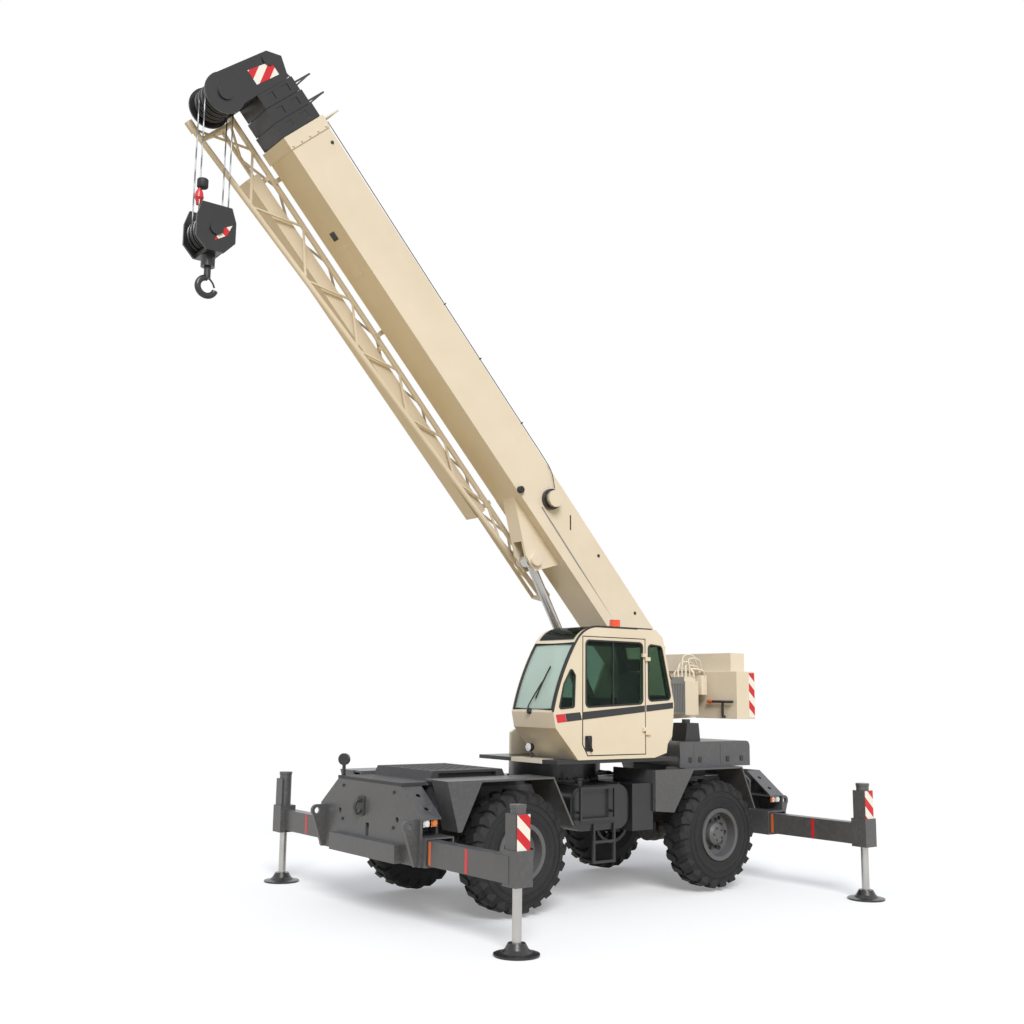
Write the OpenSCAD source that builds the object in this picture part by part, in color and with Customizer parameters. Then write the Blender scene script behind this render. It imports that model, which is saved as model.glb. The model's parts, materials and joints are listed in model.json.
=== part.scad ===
// Rough-terrain mobile crane on two steered axles, standing on its outriggers.
// X points forward, Y to the crane's left, Z up; all lengths in millimetres.

/* [Wheels] */
// Distance between the two axles
wheelbase = 3554; // [3300:1:3800]
// Distance between the middle planes of the left and right tyres
track = 2271; // [2200:1:2400]
// Outer diameter of a tyre over its lugs
tyre_d = 1493; // [1420:1:1520]
// Width of a tyre
tyre_w = 453; // [400:1:470]
// Diameter of the rim's seat
rim_d = 680; // [600:1:720]
// Depth of the tread lugs
lug_h = 34; // [20:1:45]
// Number of lugs on each shoulder of a tyre
lug_count = 22; // [16:1:26]
// Height of the tyres over the ground while the crane stands on its jacks
wheel_lift = 45; // [5:1:120]
// Distance of the steering pivots from the middle plane of their tyre
kingpin_in = 135; // [120:1:160]

/* [Outriggers] */
// Distance of the front outrigger box from the middle of the wheelbase
box_front_x = 2970; // [2900:1:3100]
// Distance of the rear outrigger box from the middle of the wheelbase
box_rear_x = 3090; // [3000:1:3200]
// Distance of the jacks from the centreline as they stand
jack_y = 2850; // [2700:1:2950]
// Height of an outrigger beam
beam_h = 285; // [260:1:300]
// Thickness of an outrigger beam along X
beam_t = 168; // [150:1:172]
// Height of the beams' underside over the tyres' lowest line
beam_z = 690; // [670:1:720]
// Diameter of a jack's rod
jack_rod_d = 104; // [90:1:116]
// Diameter of a float
float_d = 500; // [420:1:560]

/* [Carrier] */
// Half of the width over the fenders
half_w = 1300; // [1250:1:1320]
// Height of the deck over the tyres' lowest line
deck_z = 1640; // [1620:1:1660]
// Outer half width of the two frame rails
frame_half = 450; // [420:1:480]
// Thickness of a fender's plate
fender_t = 24; // [16:1:30]
// Distance of the slewing axis ahead of the middle of the wheelbase
slew_x = 200; // [150:1:260]
// Outer radius of the slewing bearing
slew_r = 620; // [560:1:660]

/* [Upper structure] */
// Height of the turntable's floor over the tyres' lowest line
floor_z = 1790; // [1780:1:1810]
// Half of the gap between the turntable's side plates
plate_gap = 312; // [305:1:330]
// Thickness of a side plate
plate_t = 46; // [36:1:56]
// Half of the counterweight's width
weight_half = 1200; // [1100:1:1250]

/* [Cab] */
// Distance of the cab's inner wall from the centreline
cab_in = 450; // [430:1:470]
// Distance of the cab's outer wall from the centreline
cab_out = 1330; // [1280:1:1360]
// Thickness of the cab's walls and door
cab_wall = 46; // [36:1:56]
// Gap round the door
door_gap = 6; // [5:1:8]
// Thickness of the window panes
pane_t = 8; // [6:1:10]

/* [Boom] */
// Angle of the boom over level as it stands
luff = 47.2; // [30:0.1:70]
// Distance from the foot pin to the front of the base section
base_l = 9000; // [8800:1:9200]
// Width of the base section
boom_w = 584; // [570:1:592]
// Depth of the base section
boom_h = 693; // [660:1:720]
// Height of the foot pin over the base section's underside
foot_up = 100; // [90:1:120]
// Wall thickness of every boom section
boom_wall = 10; // [8:1:12]
// Clearance between one section and the next
boom_gap = 12; // [8:1:14]
// Length of the collar at each section's front end
collar_l = 190; // [160:1:210]
// Radius of the head sheaves
sheave_r = 220; // [200:1:235]
// Diameter of the foot pin
foot_pin_d = 120; // [100:1:140]

/* [Lift cylinder] */
// Outer diameter of the barrel
barrel_d = 240; // [220:1:260]
// Diameter of the rod
rod_d = 130; // [110:1:150]
// Length of the barrel from its pin to its gland
barrel_l = 1720; // [1680:1:1740]
// Length of the rod from its eye to its piston end
rod_l = 1700; // [1680:1:1760]

/* [Hook] */
// Drop from the head sheaves' axis to the hook block's top
hook_drop = 1440; // [1300:1:1700]
// Diameter of the hoist rope
rope_d = 19; // [16:1:22]

/* [Hidden] */
$fn = 48;

cream = "#ddd3bf";
charcoal = "#4b4d4f";
dark = "#2b2c2e";
steel = "#b9bcbd";
tyre_black = "#1f2021";
pane_green = "#8fc3b0";

axle_x = wheelbase / 2;
tyre_r = tyre_d / 2;
hub_z = tyre_r;
kingpin_y = track / 2 - kingpin_in;
run = 0.3;                    // gap of a running fit
beam_room = 6;                // clearance round a beam in its box
box_wall = 20;
beam_off = beam_t / 2 + beam_room;        // each beam lies beside the other
pad_l = 80;                   // length of a wear pad along its beam
jack_in = 40;                 // jacks stand this much nearer to the box's middle plane than their beam
box_half_x = beam_t + 2 * beam_room + box_wall + beam_room / 2;
box_end_y = half_w - 10;
beam_l_in = 560;              // length of a beam that stays in its box
eye_off = 345;                // tie-down eyes ahead of the box's middle
eye_r = 78;
eye_bore = 40;
eye_y = half_w - 170;
eye_z = 1125;
deck_half = 780;              // half width of the deck between the fenders
floor_t = 50;                 // thickness of the turntable's floor
sweep_r = 1810;               // the hood's front is swept to this radius round the slewing axis
cab_z0 = floor_z + floor_t;
roof_z = 3580;
fine = 240;                   // segments of the widest arcs

// The boom's foot pin and the boom's own axes
foot_x = -1302;
foot_z = 3047;
head_l = [base_l + 600, base_l + 861, base_l + 1000, base_l + 1055, base_l + 575];
head_n = [600, 692, 535, -340, -413];
sheave_u = base_l + 800;
sheave_n = -340 - foot_up;
function boom_x(u, n) = foot_x + u * cos(luff) - n * sin(luff);
function boom_z(u, n) = foot_z + u * sin(luff) + n * cos(luff);
hang_x = boom_x(sheave_u, sheave_n);
hang_z = boom_z(sheave_u, sheave_n);

// The lift cylinder between the turntable and the boom's underside
lift_x = -783;
lift_z = 2050;
eye_u = 2450;                 // place of the cylinder's eye along the boom
eye_n = -300 - foot_up;
lift_dx = boom_x(eye_u, eye_n) - lift_x;
lift_dz = boom_z(eye_u, eye_n) - lift_z;
lift_len = sqrt(lift_dx * lift_dx + lift_dz * lift_dz);
lift_tilt = atan2(lift_dz, lift_dx);

// Nested boom sections: outer sizes shrink by two walls and two gaps
step_in = 2 * (boom_wall + boom_gap);
function section_w(i) = boom_w - i * step_in;
function section_h(i) = boom_h - i * step_in;
collar_gap = 8;

// The whole crane is shifted so that the middle of its length is at the origin
nose_r = sheave_r + 40;       // radius of the head plates round their sheaves
front_reach = hang_x + nose_r;
rear_reach = -box_rear_x - eye_off - eye_r;
x_mid = (front_reach + rear_reach) / 2;

module place() {
    translate([-x_mid, 0, wheel_lift]) children();
}

// An outline in X and Z, given thickness t from y0
module side_plate(y0, t, pts) {
    translate([0, y0 + t, 0]) rotate([90, 0, 0]) linear_extrude(t) polygon(pts);
}

// An outline in Y and Z, given thickness t from x0
module cross_plate(x0, t, pts) {
    translate([x0, 0, 0]) rotate([90, 0, 90]) linear_extrude(t) polygon(pts);
}

module block(lo, hi) {
    translate(lo) cube(hi - lo);
}

module both_sides() {
    children();
    mirror([0, 1, 0]) children();
}

// A cylinder along Y between two Y values
module y_rod(x, z, r, y0, y1) {
    translate([x, y0, z]) rotate([-90, 0, 0]) cylinder(r = r, h = y1 - y0);
}

// A straight bar of n sides between two points
module bar(a, b, d, n = 8) {
    v = b - a;
    len = norm(v);
    translate(a) rotate([0, acos(v[2] / len), atan2(v[1], v[0])]) cylinder(d = d, h = len, $fn = n);
}

// Boom coordinates: X along the boom from the foot pin, Z across it
module on_boom() {
    place() translate([foot_x, 0, foot_z]) rotate([0, -luff, 0]) children();
}

module box_tube(x0, x1, w, h, wall, z0) {
    difference() {
        block([x0, -w / 2, z0], [x1, w / 2, z0 + h]);
        block([x0 - 1, -w / 2 + wall, z0 + wall], [x1 + 1, w / 2 - wall, z0 + h - wall]);
    }
}

// Carrier frame: two rails, cross members and the slewing pedestal
rail_z0 = 860;
rail_z1 = 1480;
rail_t = 110;
tank_top = 1500;
flange_z = 1530;              // top of the flange under the slewing bearing
module chassis() {
    color(charcoal) place() {
        x0 = -box_rear_x + box_half_x;
        x1 = box_front_x - box_half_x;
        difference() {
            union() {
                both_sides() block([x0, frame_half - rail_t, rail_z0], [x1, frame_half, rail_z1]);
                for (x = [x0, -1050, 950, x1 - 60])
                    block([x, -frame_half, rail_z0], [x + 60, frame_half, rail_z1]);
                block([-950, -frame_half, rail_z1 - 40], [1010, frame_half, rail_z1]);
                translate([slew_x, 0, rail_z1 - 40]) cylinder(r = frame_half - 5, h = 40 + flange_z - rail_z1);
                translate([slew_x, 0, tank_top + run]) cylinder(r = slew_r + 30, h = flange_z - tank_top - run);
            }
            for (s = [-1, 1], m = [-1, 1])
                y_rod(s * axle_x, hub_z, 190, min(m * (frame_half - rail_t - 1), m * (frame_half + 1)),
                    max(m * (frame_half - rail_t - 1), m * (frame_half + 1)));
        }
    }
}

nose_half = half_w - 80;      // half width of an end plate
nose_top = deck_half - 10;    // half width of its upper edge
shoulder_z = 1220;            // height where its slanted edges end
cover_t = 16;                 // thickness of the covers over the shoulders
shelf_t = 20;                 // thickness of the shelves under the covers
// Sloped cover from the deck's edge down to a shelf, with the web that carries them
module shoulder(z1, top) {
    x0 = -60;
    cross_plate(x0, box_half_x - x0, [
        [nose_top, top], [nose_half, shoulder_z], [nose_half, shoulder_z - cover_t], [nose_top, top - cover_t]
    ]);
    block([x0, nose_top - 35, shoulder_z - shelf_t], [box_half_x, nose_half, shoulder_z]);
    block([-box_half_x, nose_top - 35, z1 - 1], [box_half_x + 29, nose_top - 5, shoulder_z - 5]);
}

// Outrigger box with its trapezoid end plate, tie-down lugs and drawbar slot; dir is +1 at the front
module outrigger_box(xc, dir) {
    z0 = beam_z - beam_room - box_wall;
    z1 = beam_z + beam_h + beam_room + box_wall;
    inner_x = box_half_x - box_wall;
    top = deck_z - 80;
    inner_half = nose_half - 280;
    tilt = atan2(top - shoulder_z, nose_half - nose_top);
    plate = [
        [-nose_half, z0], [nose_half, z0], [nose_half, shoulder_z], [nose_top, top], [-nose_top, top],
        [-nose_half, shoulder_z]
    ];
    inner_plate = [
        [-inner_half, z0], [inner_half, z0], [inner_half, 1430], [nose_top, top], [-nose_top, top],
        [-inner_half, 1430]
    ];
    translate([xc, 0, 0]) mirror([dir < 0 ? 1 : 0, 0, 0]) {
        difference() {
            union() {
                block([-box_half_x, -box_end_y, z0], [box_half_x, box_end_y, z1]);
                cross_plate(box_half_x - 1, 31, plate);
                block([box_half_x, -800, z0], [box_half_x + 120, 800, z0 + 215]);
                cross_plate(-box_half_x, 30, inner_plate);
                both_sides() shoulder(z1, top);
                both_sides() tie_down_lug(z0);
            }
            block([-inner_x, -box_end_y - 1, z0 + box_wall], [inner_x, box_end_y + 1, z1 - box_wall]);
            both_sides() y_rod(eye_off, eye_z, eye_bore, eye_y - 60, eye_y + 60);
            both_sides() translate([box_half_x - 5, 700, 1160]) rotate([0, 90, 0]) cylinder(r = 34, h = 60);
            block([box_half_x - 5, -38, z0 + 240], [box_half_x + 40, 38, z0 + 400]);
            // two round holes in each cover
            both_sides() for (f = [0.3, 0.72])
                translate([70, nose_top + f * (nose_half - nose_top), top + f * (shoulder_z - top)])
                    rotate([-tilt, 0, 0]) cylinder(r = 30, h = 120, center = true);
        }
        // wear pads at the mouths, one under each beam
        for (side = [-1, 1]) {
            x = dir * side * beam_off;
            y = side * (box_end_y - pad_l / 2);
            block([x - beam_t / 2, y - pad_l / 2, z0 + box_wall - 1], [x + beam_t / 2, y + pad_l / 2, beam_z - run]);
        }
    }
}

module tie_down_lug(z0) {
    t = 50;
    side_plate(eye_y - t / 2, t, [
        [box_half_x, z0], [box_half_x + 60, z0], [eye_off + 58, eye_z - 52],
        [eye_off, eye_z + eye_r - 0.5], [box_half_x, eye_z + eye_r - 0.5]
    ]);
    y_rod(eye_off, eye_z, eye_r, eye_y - t / 2, eye_y + t / 2);
}

module front_box() {
    color(charcoal) place() outrigger_box(box_front_x, 1);
}

module rear_box() {
    color(charcoal) place() outrigger_box(-box_rear_x, -1);
}

// Deck over the front of the frame with its raised cover
module deck() {
    color(charcoal) place() {
        x1 = box_front_x + box_half_x + 30;
        block([1050, -frame_half, rail_z1], [box_front_x - box_half_x, frame_half, deck_z - 79]);
        block([1250, -deck_half, deck_z - 80], [x1, deck_half, deck_z - 40]);
        difference() {
            side_plate(-720, 1340, [
                [1500, deck_z - 41], [2700, deck_z - 41], [2640, deck_z + 75], [1560, deck_z + 75]
            ]);
            // recess under the cover's lip
            block([1660, 550, deck_z - 15], [2560, 621, deck_z + 45]);
        }
    }
}

// Fenders of bent plate over the four wheels
module fender_front() {
    block([1250, deck_half, deck_z - 75], [2860, deck_half + fender_t, deck_z - fender_t + 1]);
    side_plate(deck_half, half_w - deck_half, [
        [930, 1020], [1250, deck_z - fender_t], [2860, deck_z - fender_t], [2860, deck_z], [1235, deck_z],
        [905, 1028]
    ]);
    side_plate(half_w - 30, 30, [[2370, deck_z - fender_t], [2860, deck_z - fender_t], [2690, 1040], [2660, 1040]]);
    side_plate(half_w - 340, 340, [[2690, 1040], [2715, 1040], [2885, deck_z], [2859, deck_z]]);
}

hood_z = deck_z + 30;
box_x0 = -555;                // rear face of the battery box
module fender_rear() {
    z1 = hood_z;
    side_plate(deck_half, half_w - deck_half, [
        [-920, 1090], [-1310, z1 - fender_t], [-2315, z1 - fender_t], [-2570, 1060], [-2597, 1060],
        [-2330, z1], [-1295, z1], [-893, 1090]
    ]);
    side_plate(half_w - 30, 30, [[-560, 1120], [-893, 1090], [-1295, z1], [-560, z1]]);
    block([-585, frame_half, 1120], [box_x0, half_w - 29, z1]);
}

module fenders() {
    color(charcoal) place() both_sides() {
        fender_front();
        fender_rear();
    }
}

// Engine hood behind the slewing circle, with a swept front and a stack
hood_half = half_w - 170;
hood_wall = 40;
module hood() {
    color(charcoal) place() difference() {
        union() {
            translate([0, hood_half, 0]) rotate([90, 0, 0]) linear_extrude(2 * hood_half) {
                polygon([[-900, hood_z], [-2690, hood_z], [-2690, 1950], [-2610, 2030], [-900, 2030]]);
                translate([-2610, 1950]) circle(r = 80);
            }
            side_plate(700, 280, [[-1790, 2029], [-1760, 2290], [-1520, 2290], [-1480, 2029]]);
        }
        translate([slew_x, 0, hood_z - 50]) cylinder(r = sweep_r, h = 800, $fn = fine);
        // outlet of the stack, seams of the side lids and slots of the rear grille
        block([-1735, 730, 2180], [-1545, 950, 2291]);
        for (x = [-1500, -2050]) both_sides() block([x, hood_half - 5, hood_z + 30], [x + 8, hood_half + 1, 2000]);
        for (k = [0 : 5]) block([-2691, -560, 1730 + 40 * k], [-2672, 560, 1750 + 40 * k]);
        difference() {
            block([-2690 + hood_wall, -hood_half + hood_wall, hood_z - 1], [-900, hood_half - hood_wall, 2030 - hood_wall]);
            translate([slew_x, 0, hood_z - 50]) cylinder(r = sweep_r + hood_wall, h = 800, $fn = fine);
        }
    }
}

// Engine and gearbox as one plain mass
module engine() {
    y = frame_half - rail_t;
    color(dark) place() block([-2560, -y, 1010], [-1700, y, 1950]);
}

// Hydraulic tank with its grab frame and step on the left, battery box behind it, fuel tank on the right
module tank_body(x0, x1, z0, z1, r, y0, y1) {
    translate([0, y1, 0]) rotate([90, 0, 0]) linear_extrude(y1 - y0) {
        polygon([[x0 + r, z0], [x1 - r, z0], [x1 - r, z1], [x0 + r, z1]]);
        polygon([[x0, z0 + r], [x1, z0 + r], [x1, z1 - r], [x0, z1 - r]]);
        for (x = [x0 + r, x1 - r], z = [z0 + r, z1 - r]) translate([x, z]) circle(r = r);
    }
}

module hoop(x0, x1, z0, z1, y, d) {
    block([x0, y - d, z0], [x0 + d, y, z1]);
    block([x1 - d, y - d, z0], [x1, y, z1]);
    block([x0 + d, y - d, z0], [x1 - d, y, z0 + d]);
    block([x0 + d, y - d, z1 - d], [x1 - d, y, z1]);
}

tank_y = half_w - 100;
module tank() {
    color(dark) place() {
        both_sides() {
            tank_body(-150, 880, 920, tank_top, 200, frame_half, tank_y);
            tank_body(-110, 840, 960, tank_top - 40, 165, tank_y - 1, tank_y + 8);
            translate([600, tank_y - 160, tank_top - 1]) cylinder(r = 48, h = 56);
            hoop(170, 790, 1060, 1490, half_w - 2, 30);
            for (x = [185, 745]) block([x, tank_y - 1, 1150], [x + 30, half_w - 31, 1180]);
            hoop(120, 510, 500, 790, tank_y + 33, 34);
            for (x = [120, 476]) block([x, tank_y - 1, 789], [x + 34, tank_y + 33, 1000]);
            block([box_x0, frame_half, 880], [-170, half_w - 50, tank_top]);
        }
    }
}

// Head and tail lamps hung under the shelves of the boxes' shoulders
module lamp(x) {
    y = nose_half - 60;
    z = shoulder_z - shelf_t;
    block([x - 42, y - 42, z - 84], [x + 42, y + 30, z]);
    y_rod(x, z - 44, 36, y + 29, y + 46);
}

module lamps() {
    color("#d98a3a") place() both_sides()
        for (off = [20, 130]) {
            lamp(box_front_x + off);
            lamp(-box_rear_x - off);
        }
}

// Round mirror on a post at the front right
module mirror_on_post() {
    x = box_front_x + box_half_x;
    translate([x - 30, -740, deck_z - 40]) cylinder(d = 46, h = 190);
    translate([x - 30, -740, deck_z + 165]) rotate([0, 90, 35]) translate([0, 0, -26]) cylinder(r = 76, h = 52);
}

module road_mirror() {
    color(dark) place() mirror_on_post();
}

// Axle housing with its differential and forked ends at the steering pivots
module axle(x) {
    pin_r = 42;
    seat_y = frame_half - rail_t;
    y_rod(x, hub_z, 118, -kingpin_y + 150, kingpin_y - 150);
    translate([x, 0, hub_z]) rotate([0, 90, 0]) cylinder(r = 215, h = 300, center = true);
    translate([x, 0, hub_z]) sphere(r = 225);
    both_sides() {
        y_rod(x, hub_z, 165, kingpin_y - 190, kingpin_y - 140);
        for (z = [hub_z + 130, hub_z - 180]) {
            block([x - 90, kingpin_y - 170, z], [x + 90, kingpin_y, z + 50]);
            translate([x, kingpin_y, z]) cylinder(r = 90, h = 50);
        }
        for (z = [hub_z + 80, hub_z - 132]) translate([x, kingpin_y, z]) cylinder(r = pin_r, h = 52);
        // seat that hangs the housing between the rails
        block([x - 130, seat_y - 40, hub_z + 90], [x + 130, seat_y, rail_z0 + 140]);
    }
}

module front_axle() {
    color(dark) place() axle(axle_x);
}

module rear_axle() {
    color(dark) place() axle(-axle_x);
}

// Lower race of the slewing bearing
disc_t = 30;                  // thickness of the turntable's disc over the bearing
module slew_bearing() {
    color(dark) place() translate([slew_x, 0, flange_z]) difference() {
        cylinder(r = slew_r, h = floor_z - disc_t - run - flange_z);
        translate([0, 0, -1]) cylinder(r = slew_r - 110, h = floor_z);
    }
}

// Outrigger beam with the jack housing at its end; side is +1 left, xc the box, off the beam's place in it
module beam_body(xc, side) {
    off = side * beam_off;
    jx = off - side * jack_in;
    hx = 118;
    tail = box_end_y - beam_l_in;
    z1 = beam_z + beam_h;
    translate([xc, 0, 0]) mirror([0, side < 0 ? 1 : 0, 0]) difference() {
        union() {
            block([off - beam_t / 2, tail, beam_z], [off + beam_t / 2, jack_y, z1]);
            block([off - beam_t / 2, tail, beam_z - beam_room + run], [off + beam_t / 2, tail + pad_l, beam_z + 1]);
            block([jx - hx, jack_y - hx, beam_z - 32], [jx + hx, jack_y + hx, z1 + 62]);
            translate([jx, jack_y, z1]) cylinder(r = 86, h = 500);
            translate([jx, jack_y, z1 + 499]) cylinder(r = 92, h = 36);
            // chevron board on the jack's outer face
            block([jx - 92, jack_y + 84, z1 + 30], [jx + 92, jack_y + 100, z1 + 440]);
            block([jx + 84, jack_y - 92, z1 + 30], [jx + 100, jack_y + 92, z1 + 440]);
        }
        translate([jx, jack_y, beam_z - 40]) cylinder(d = jack_rod_d + 2 * run, h = beam_h + 530);
        block([off - beam_t / 2 + 12, tail - 1, beam_z + 12],
            [off + beam_t / 2 - 12, jack_y - hx - 20, z1 - 12]);
    }
}

module beam_fl() { color(charcoal) place() beam_body(box_front_x, 1); }
module beam_fr() { color(charcoal) place() beam_body(box_front_x, -1); }
module beam_rl() { color(charcoal) place() beam_body(-box_rear_x, 1); }
module beam_rr() { color(charcoal) place() beam_body(-box_rear_x, -1); }

// Jack rod on its dished float
module jack_body(xc, side) {
    jx = side * (beam_off - jack_in);
    translate([xc + jx, side * jack_y, -wheel_lift]) {
        translate([0, 0, 60]) cylinder(d = jack_rod_d, h = beam_z + wheel_lift + 150);
        rotate_extrude() polygon([
            [0, 0], [float_d / 2, 0], [float_d / 2, 22], [float_d / 2 - 80, 34], [130, 70], [96, 130], [0, 130]
        ]);
    }
}

module jack_fl() { color(steel) place() jack_body(box_front_x, 1); }
module jack_fr() { color(steel) place() jack_body(box_front_x, -1); }
module jack_rl() { color(steel) place() jack_body(-box_rear_x, 1); }
module jack_rr() { color(steel) place() jack_body(-box_rear_x, -1); }

// Steering knuckle: a hub carrier between the axle's fork, with a bored boss for the pivots and a spindle
module knuckle_body(x, side) {
    mirror([0, side < 0 ? 1 : 0, 0]) difference() {
        union() {
            translate([x, kingpin_y, hub_z - 122]) cylinder(r = 78, h = 244);
            y_rod(x, hub_z, 120, kingpin_y, kingpin_y + 60);
            y_rod(x, hub_z, 70, kingpin_y + 60, track / 2 + 60);
            block([x - 240, kingpin_y - 40, hub_z - 90], [x, kingpin_y + 10, hub_z - 40]);
        }
        for (z = [hub_z + 79.5, hub_z - 133]) translate([x, kingpin_y, z]) cylinder(r = 42 + run, h = 54);
    }
}

module knuckle_fl() { color(dark) place() knuckle_body(axle_x, 1); }
module knuckle_fr() { color(dark) place() knuckle_body(axle_x, -1); }
module knuckle_rl() { color(dark) place() knuckle_body(-axle_x, 1); }
module knuckle_rr() { color(dark) place() knuckle_body(-axle_x, -1); }

// Rim: a dished disc in a barrel, bored for the spindle; the profile is turned about the wheel's axis
rim_half = tyre_w / 2 - 6;
module wheel_at(x, side) {
    translate([x, side * track / 2, hub_z]) rotate([side > 0 ? -90 : 90, 0, 0]) children();
}

module rim_body() {
    r = rim_d / 2;
    difference() {
        rotate_extrude() polygon([
            [70 + run, -50], [125, -50], [140, 20], [r - 60, 40], [r - 30, -rim_half], [r + 20, -rim_half],
            [r + 20, -rim_half + 24], [r, -rim_half + 40], [r, rim_half - 40], [r + 20, rim_half - 24],
            [r + 20, rim_half], [r - 34, rim_half], [r - 52, 90], [170, 66], [150, 150], [110, 178], [0, 178],
            [0, 70], [70 + run, 70]
        ]);
        for (a = [0 : 60 : 300]) rotate([0, 0, a]) translate([r - 100, 0, -50]) cylinder(r = 32, h = 200);
    }
}

module rim_fl() { color(charcoal) place() wheel_at(axle_x, 1) rim_body(); }
module rim_fr() { color(charcoal) place() wheel_at(axle_x, -1) rim_body(); }
module rim_rl() { color(charcoal) place() wheel_at(-axle_x, 1) rim_body(); }
module rim_rr() { color(charcoal) place() wheel_at(-axle_x, -1) rim_body(); }

// Tyre: a turned carcass with two rows of shoulder lugs
module tyre_body() {
    r = tyre_r - lug_h;
    b = rim_d / 2 + run;
    h = tyre_w / 2;
    rotate_extrude() polygon([
        [b, -rim_half + 41], [b + 26, -rim_half + 20], [b + 150, -h], [r - 110, -h + 10], [r - 24, -h + 54],
        [r, -h + 100], [r, h - 100], [r - 24, h - 54], [r - 110, h - 10], [b + 150, h],
        [b + 26, rim_half - 20], [b, rim_half - 41]
    ]);
    for (s = [0, 1], k = [0 : lug_count - 1])
        rotate([0, 0, (k + s / 2) * 360 / lug_count]) mirror([0, 0, s]) lug(r, h);
}

lug_skew = 22;                // slant of the lugs across the tread
module lug(r, h) {
    w = PI * tyre_d / lug_count * 0.46;
    reach = w / 2 * cos(lug_skew) + h / 2 * sin(lug_skew);
    top = sqrt(tyre_r * tyre_r - reach * reach);
    translate([0, 0, h / 2]) rotate([lug_skew, 0, 0]) translate([0, w / 2, -h / 2]) rotate([90, 0, 0]) linear_extrude(w)
        polygon([[r - 40, 12], [top, 12], [top, h - 70], [top - 36, h - 16], [r - 100, h - 16]]);
}

module tyre_fl() { color(tyre_black) place() wheel_at(axle_x, 1) tyre_body(); }
module tyre_fr() { color(tyre_black) place() wheel_at(axle_x, -1) tyre_body(); }
module tyre_rl() { color(tyre_black) place() wheel_at(-axle_x, 1) tyre_body(); }
module tyre_rr() { color(tyre_black) place() wheel_at(-axle_x, -1) tyre_body(); }

tail_x = -2480;               // rear end of the side plates, in the counterweight's notch
// Turntable: floor on the bearing's upper race, two side plates that carry boom, cylinder and winch
module turntable() {
    half = plate_gap + plate_t;
    color(cream) place() {
        translate([slew_x, 0, floor_z - disc_t]) cylinder(r = slew_r + 20, h = disc_t + 4);
        block([-1400, -half - 60, floor_z], [1180, half + 60, cab_z0]);
        block([-1000, half + 59, floor_z], [1180, cab_out - 40, cab_z0]);
        both_sides() side_plate(plate_gap, plate_t, [
            [tail_x, 2360], [-1570, 2325], [-1400, cab_z0 - 1], [700, cab_z0 - 1], [700, 2140], [300, 2360],
            [-760, 2420], [-1080, 3130], [-1180, 3230], [-1420, 3230], [-1540, 3110], [-1980, 2700], [tail_x, 2700]
        ]);
        block([-2345, -plate_gap - 1, 2365], [-1985, plate_gap + 1, 2405]);
        y_rod(foot_x, foot_z, foot_pin_d / 2, -half, half);
        both_sides() y_rod(foot_x, foot_z, 130, half - 1, half + 30);
        y_rod(lift_x, lift_z, 55, -plate_gap - 1, plate_gap + 1);
        both_sides() y_rod(lift_x, lift_z, 120, 140, plate_gap + 1);
    }
}

// Counterweight across the tail, with a notch for the winch
module counterweight() {
    color(cream) place() difference() {
        union() {
            block([-2750, -weight_half, 2350], [-2350, weight_half, 3050]);
            block([-2750, -1000, 3049], [-2450, 1000, 3330]);
        }
        block([tail_x, -plate_gap - plate_t - run, 2300], [-2300, plate_gap + plate_t + run, 3060]);
    }
}

// Hoist winch between the side plates
winch_x = -2210;
winch_z = 2660;
module winch() {
    color("#6d6f70") place() {
        y_rod(winch_x, winch_z, 150, -plate_gap + 40, plate_gap - 40);
        both_sides() y_rod(winch_x, winch_z, 235, plate_gap - 42, plate_gap - 6);
        both_sides() y_rod(winch_x, winch_z, 60, plate_gap - 7, plate_gap);
        both_sides() y_rod(winch_x, winch_z, 130, plate_gap + plate_t, plate_gap + plate_t + 60);
    }
}

// Oil cooler on the left side plate, with slots in its front
module cooler() {
    y0 = plate_gap + plate_t;
    color(cream) place() difference() {
        union() {
            block([-2070, y0, 2400], [-1790, y0 + 330, 2900]);
            block([-2050, y0 + 30, 2899], [-1810, y0 + 290, 2960]);
        }
        for (k = [0 : 8]) block([-1810, y0 + 25 + 33 * k, 2440], [-1789, y0 + 43 + 33 * k, 2860]);
    }
}

function arc(c, r, a0, a1, n) = [for (k = [0 : n]) c + r * [cos(a0 + k * (a1 - a0) / n), sin(a0 + k * (a1 - a0) / n)]];
function unit(v) = v / norm(v);
// Arc of n steps that rounds the corner b between a and c to radius r
function corner(a, b, c, r, n) = let (
    u = unit(a - b), v = unit(c - b), m = unit(u + v), h = acos(u * v) / 2, o = b + m * r / sin(h),
    mid = atan2(-m[1], -m[0]), w = sign(u[0] * v[1] - u[1] * v[0]) * (90 - h)
) arc(o, r, mid + w, mid - w, n);
function rounded(pts, r) = [
    for (k = [0 : len(pts) - 1])
        each corner(pts[(k + len(pts) - 1) % len(pts)], pts[k], pts[(k + 1) % len(pts)], r, 3)
];

// Cab shell: outline in X and Z, hollow, with its windows and doorway cut
screen_a0 = 13;               // lean of the windscreen at its foot
screen_a1 = 33;               // lean at the brow, where a tighter arc runs into the roof
screen_r = 2900;
screen_c = [1285, 2450] - screen_r * [cos(screen_a0), sin(screen_a0)];
brow = screen_c + screen_r * [cos(screen_a1), sin(screen_a1)];
brow_r = (roof_z - brow[1]) / (1 - sin(screen_a1));
brow_c = [brow[0] - brow_r * cos(screen_a1), roof_z - brow_r];
back_pts = [[-690, 3480], [-905, 2570]];
cab_pts = concat(
    [[860, cab_z0], [1240, 2250]], arc(screen_c, screen_r, screen_a0, screen_a1, 8),
    arc(brow_c, brow_r, screen_a1 + 8, 90, 6), [[-560, roof_z]], back_pts,
    [[-860, 2130], [-770, 2020], [-750, 1900], [-520, cab_z0]]
);
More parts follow.
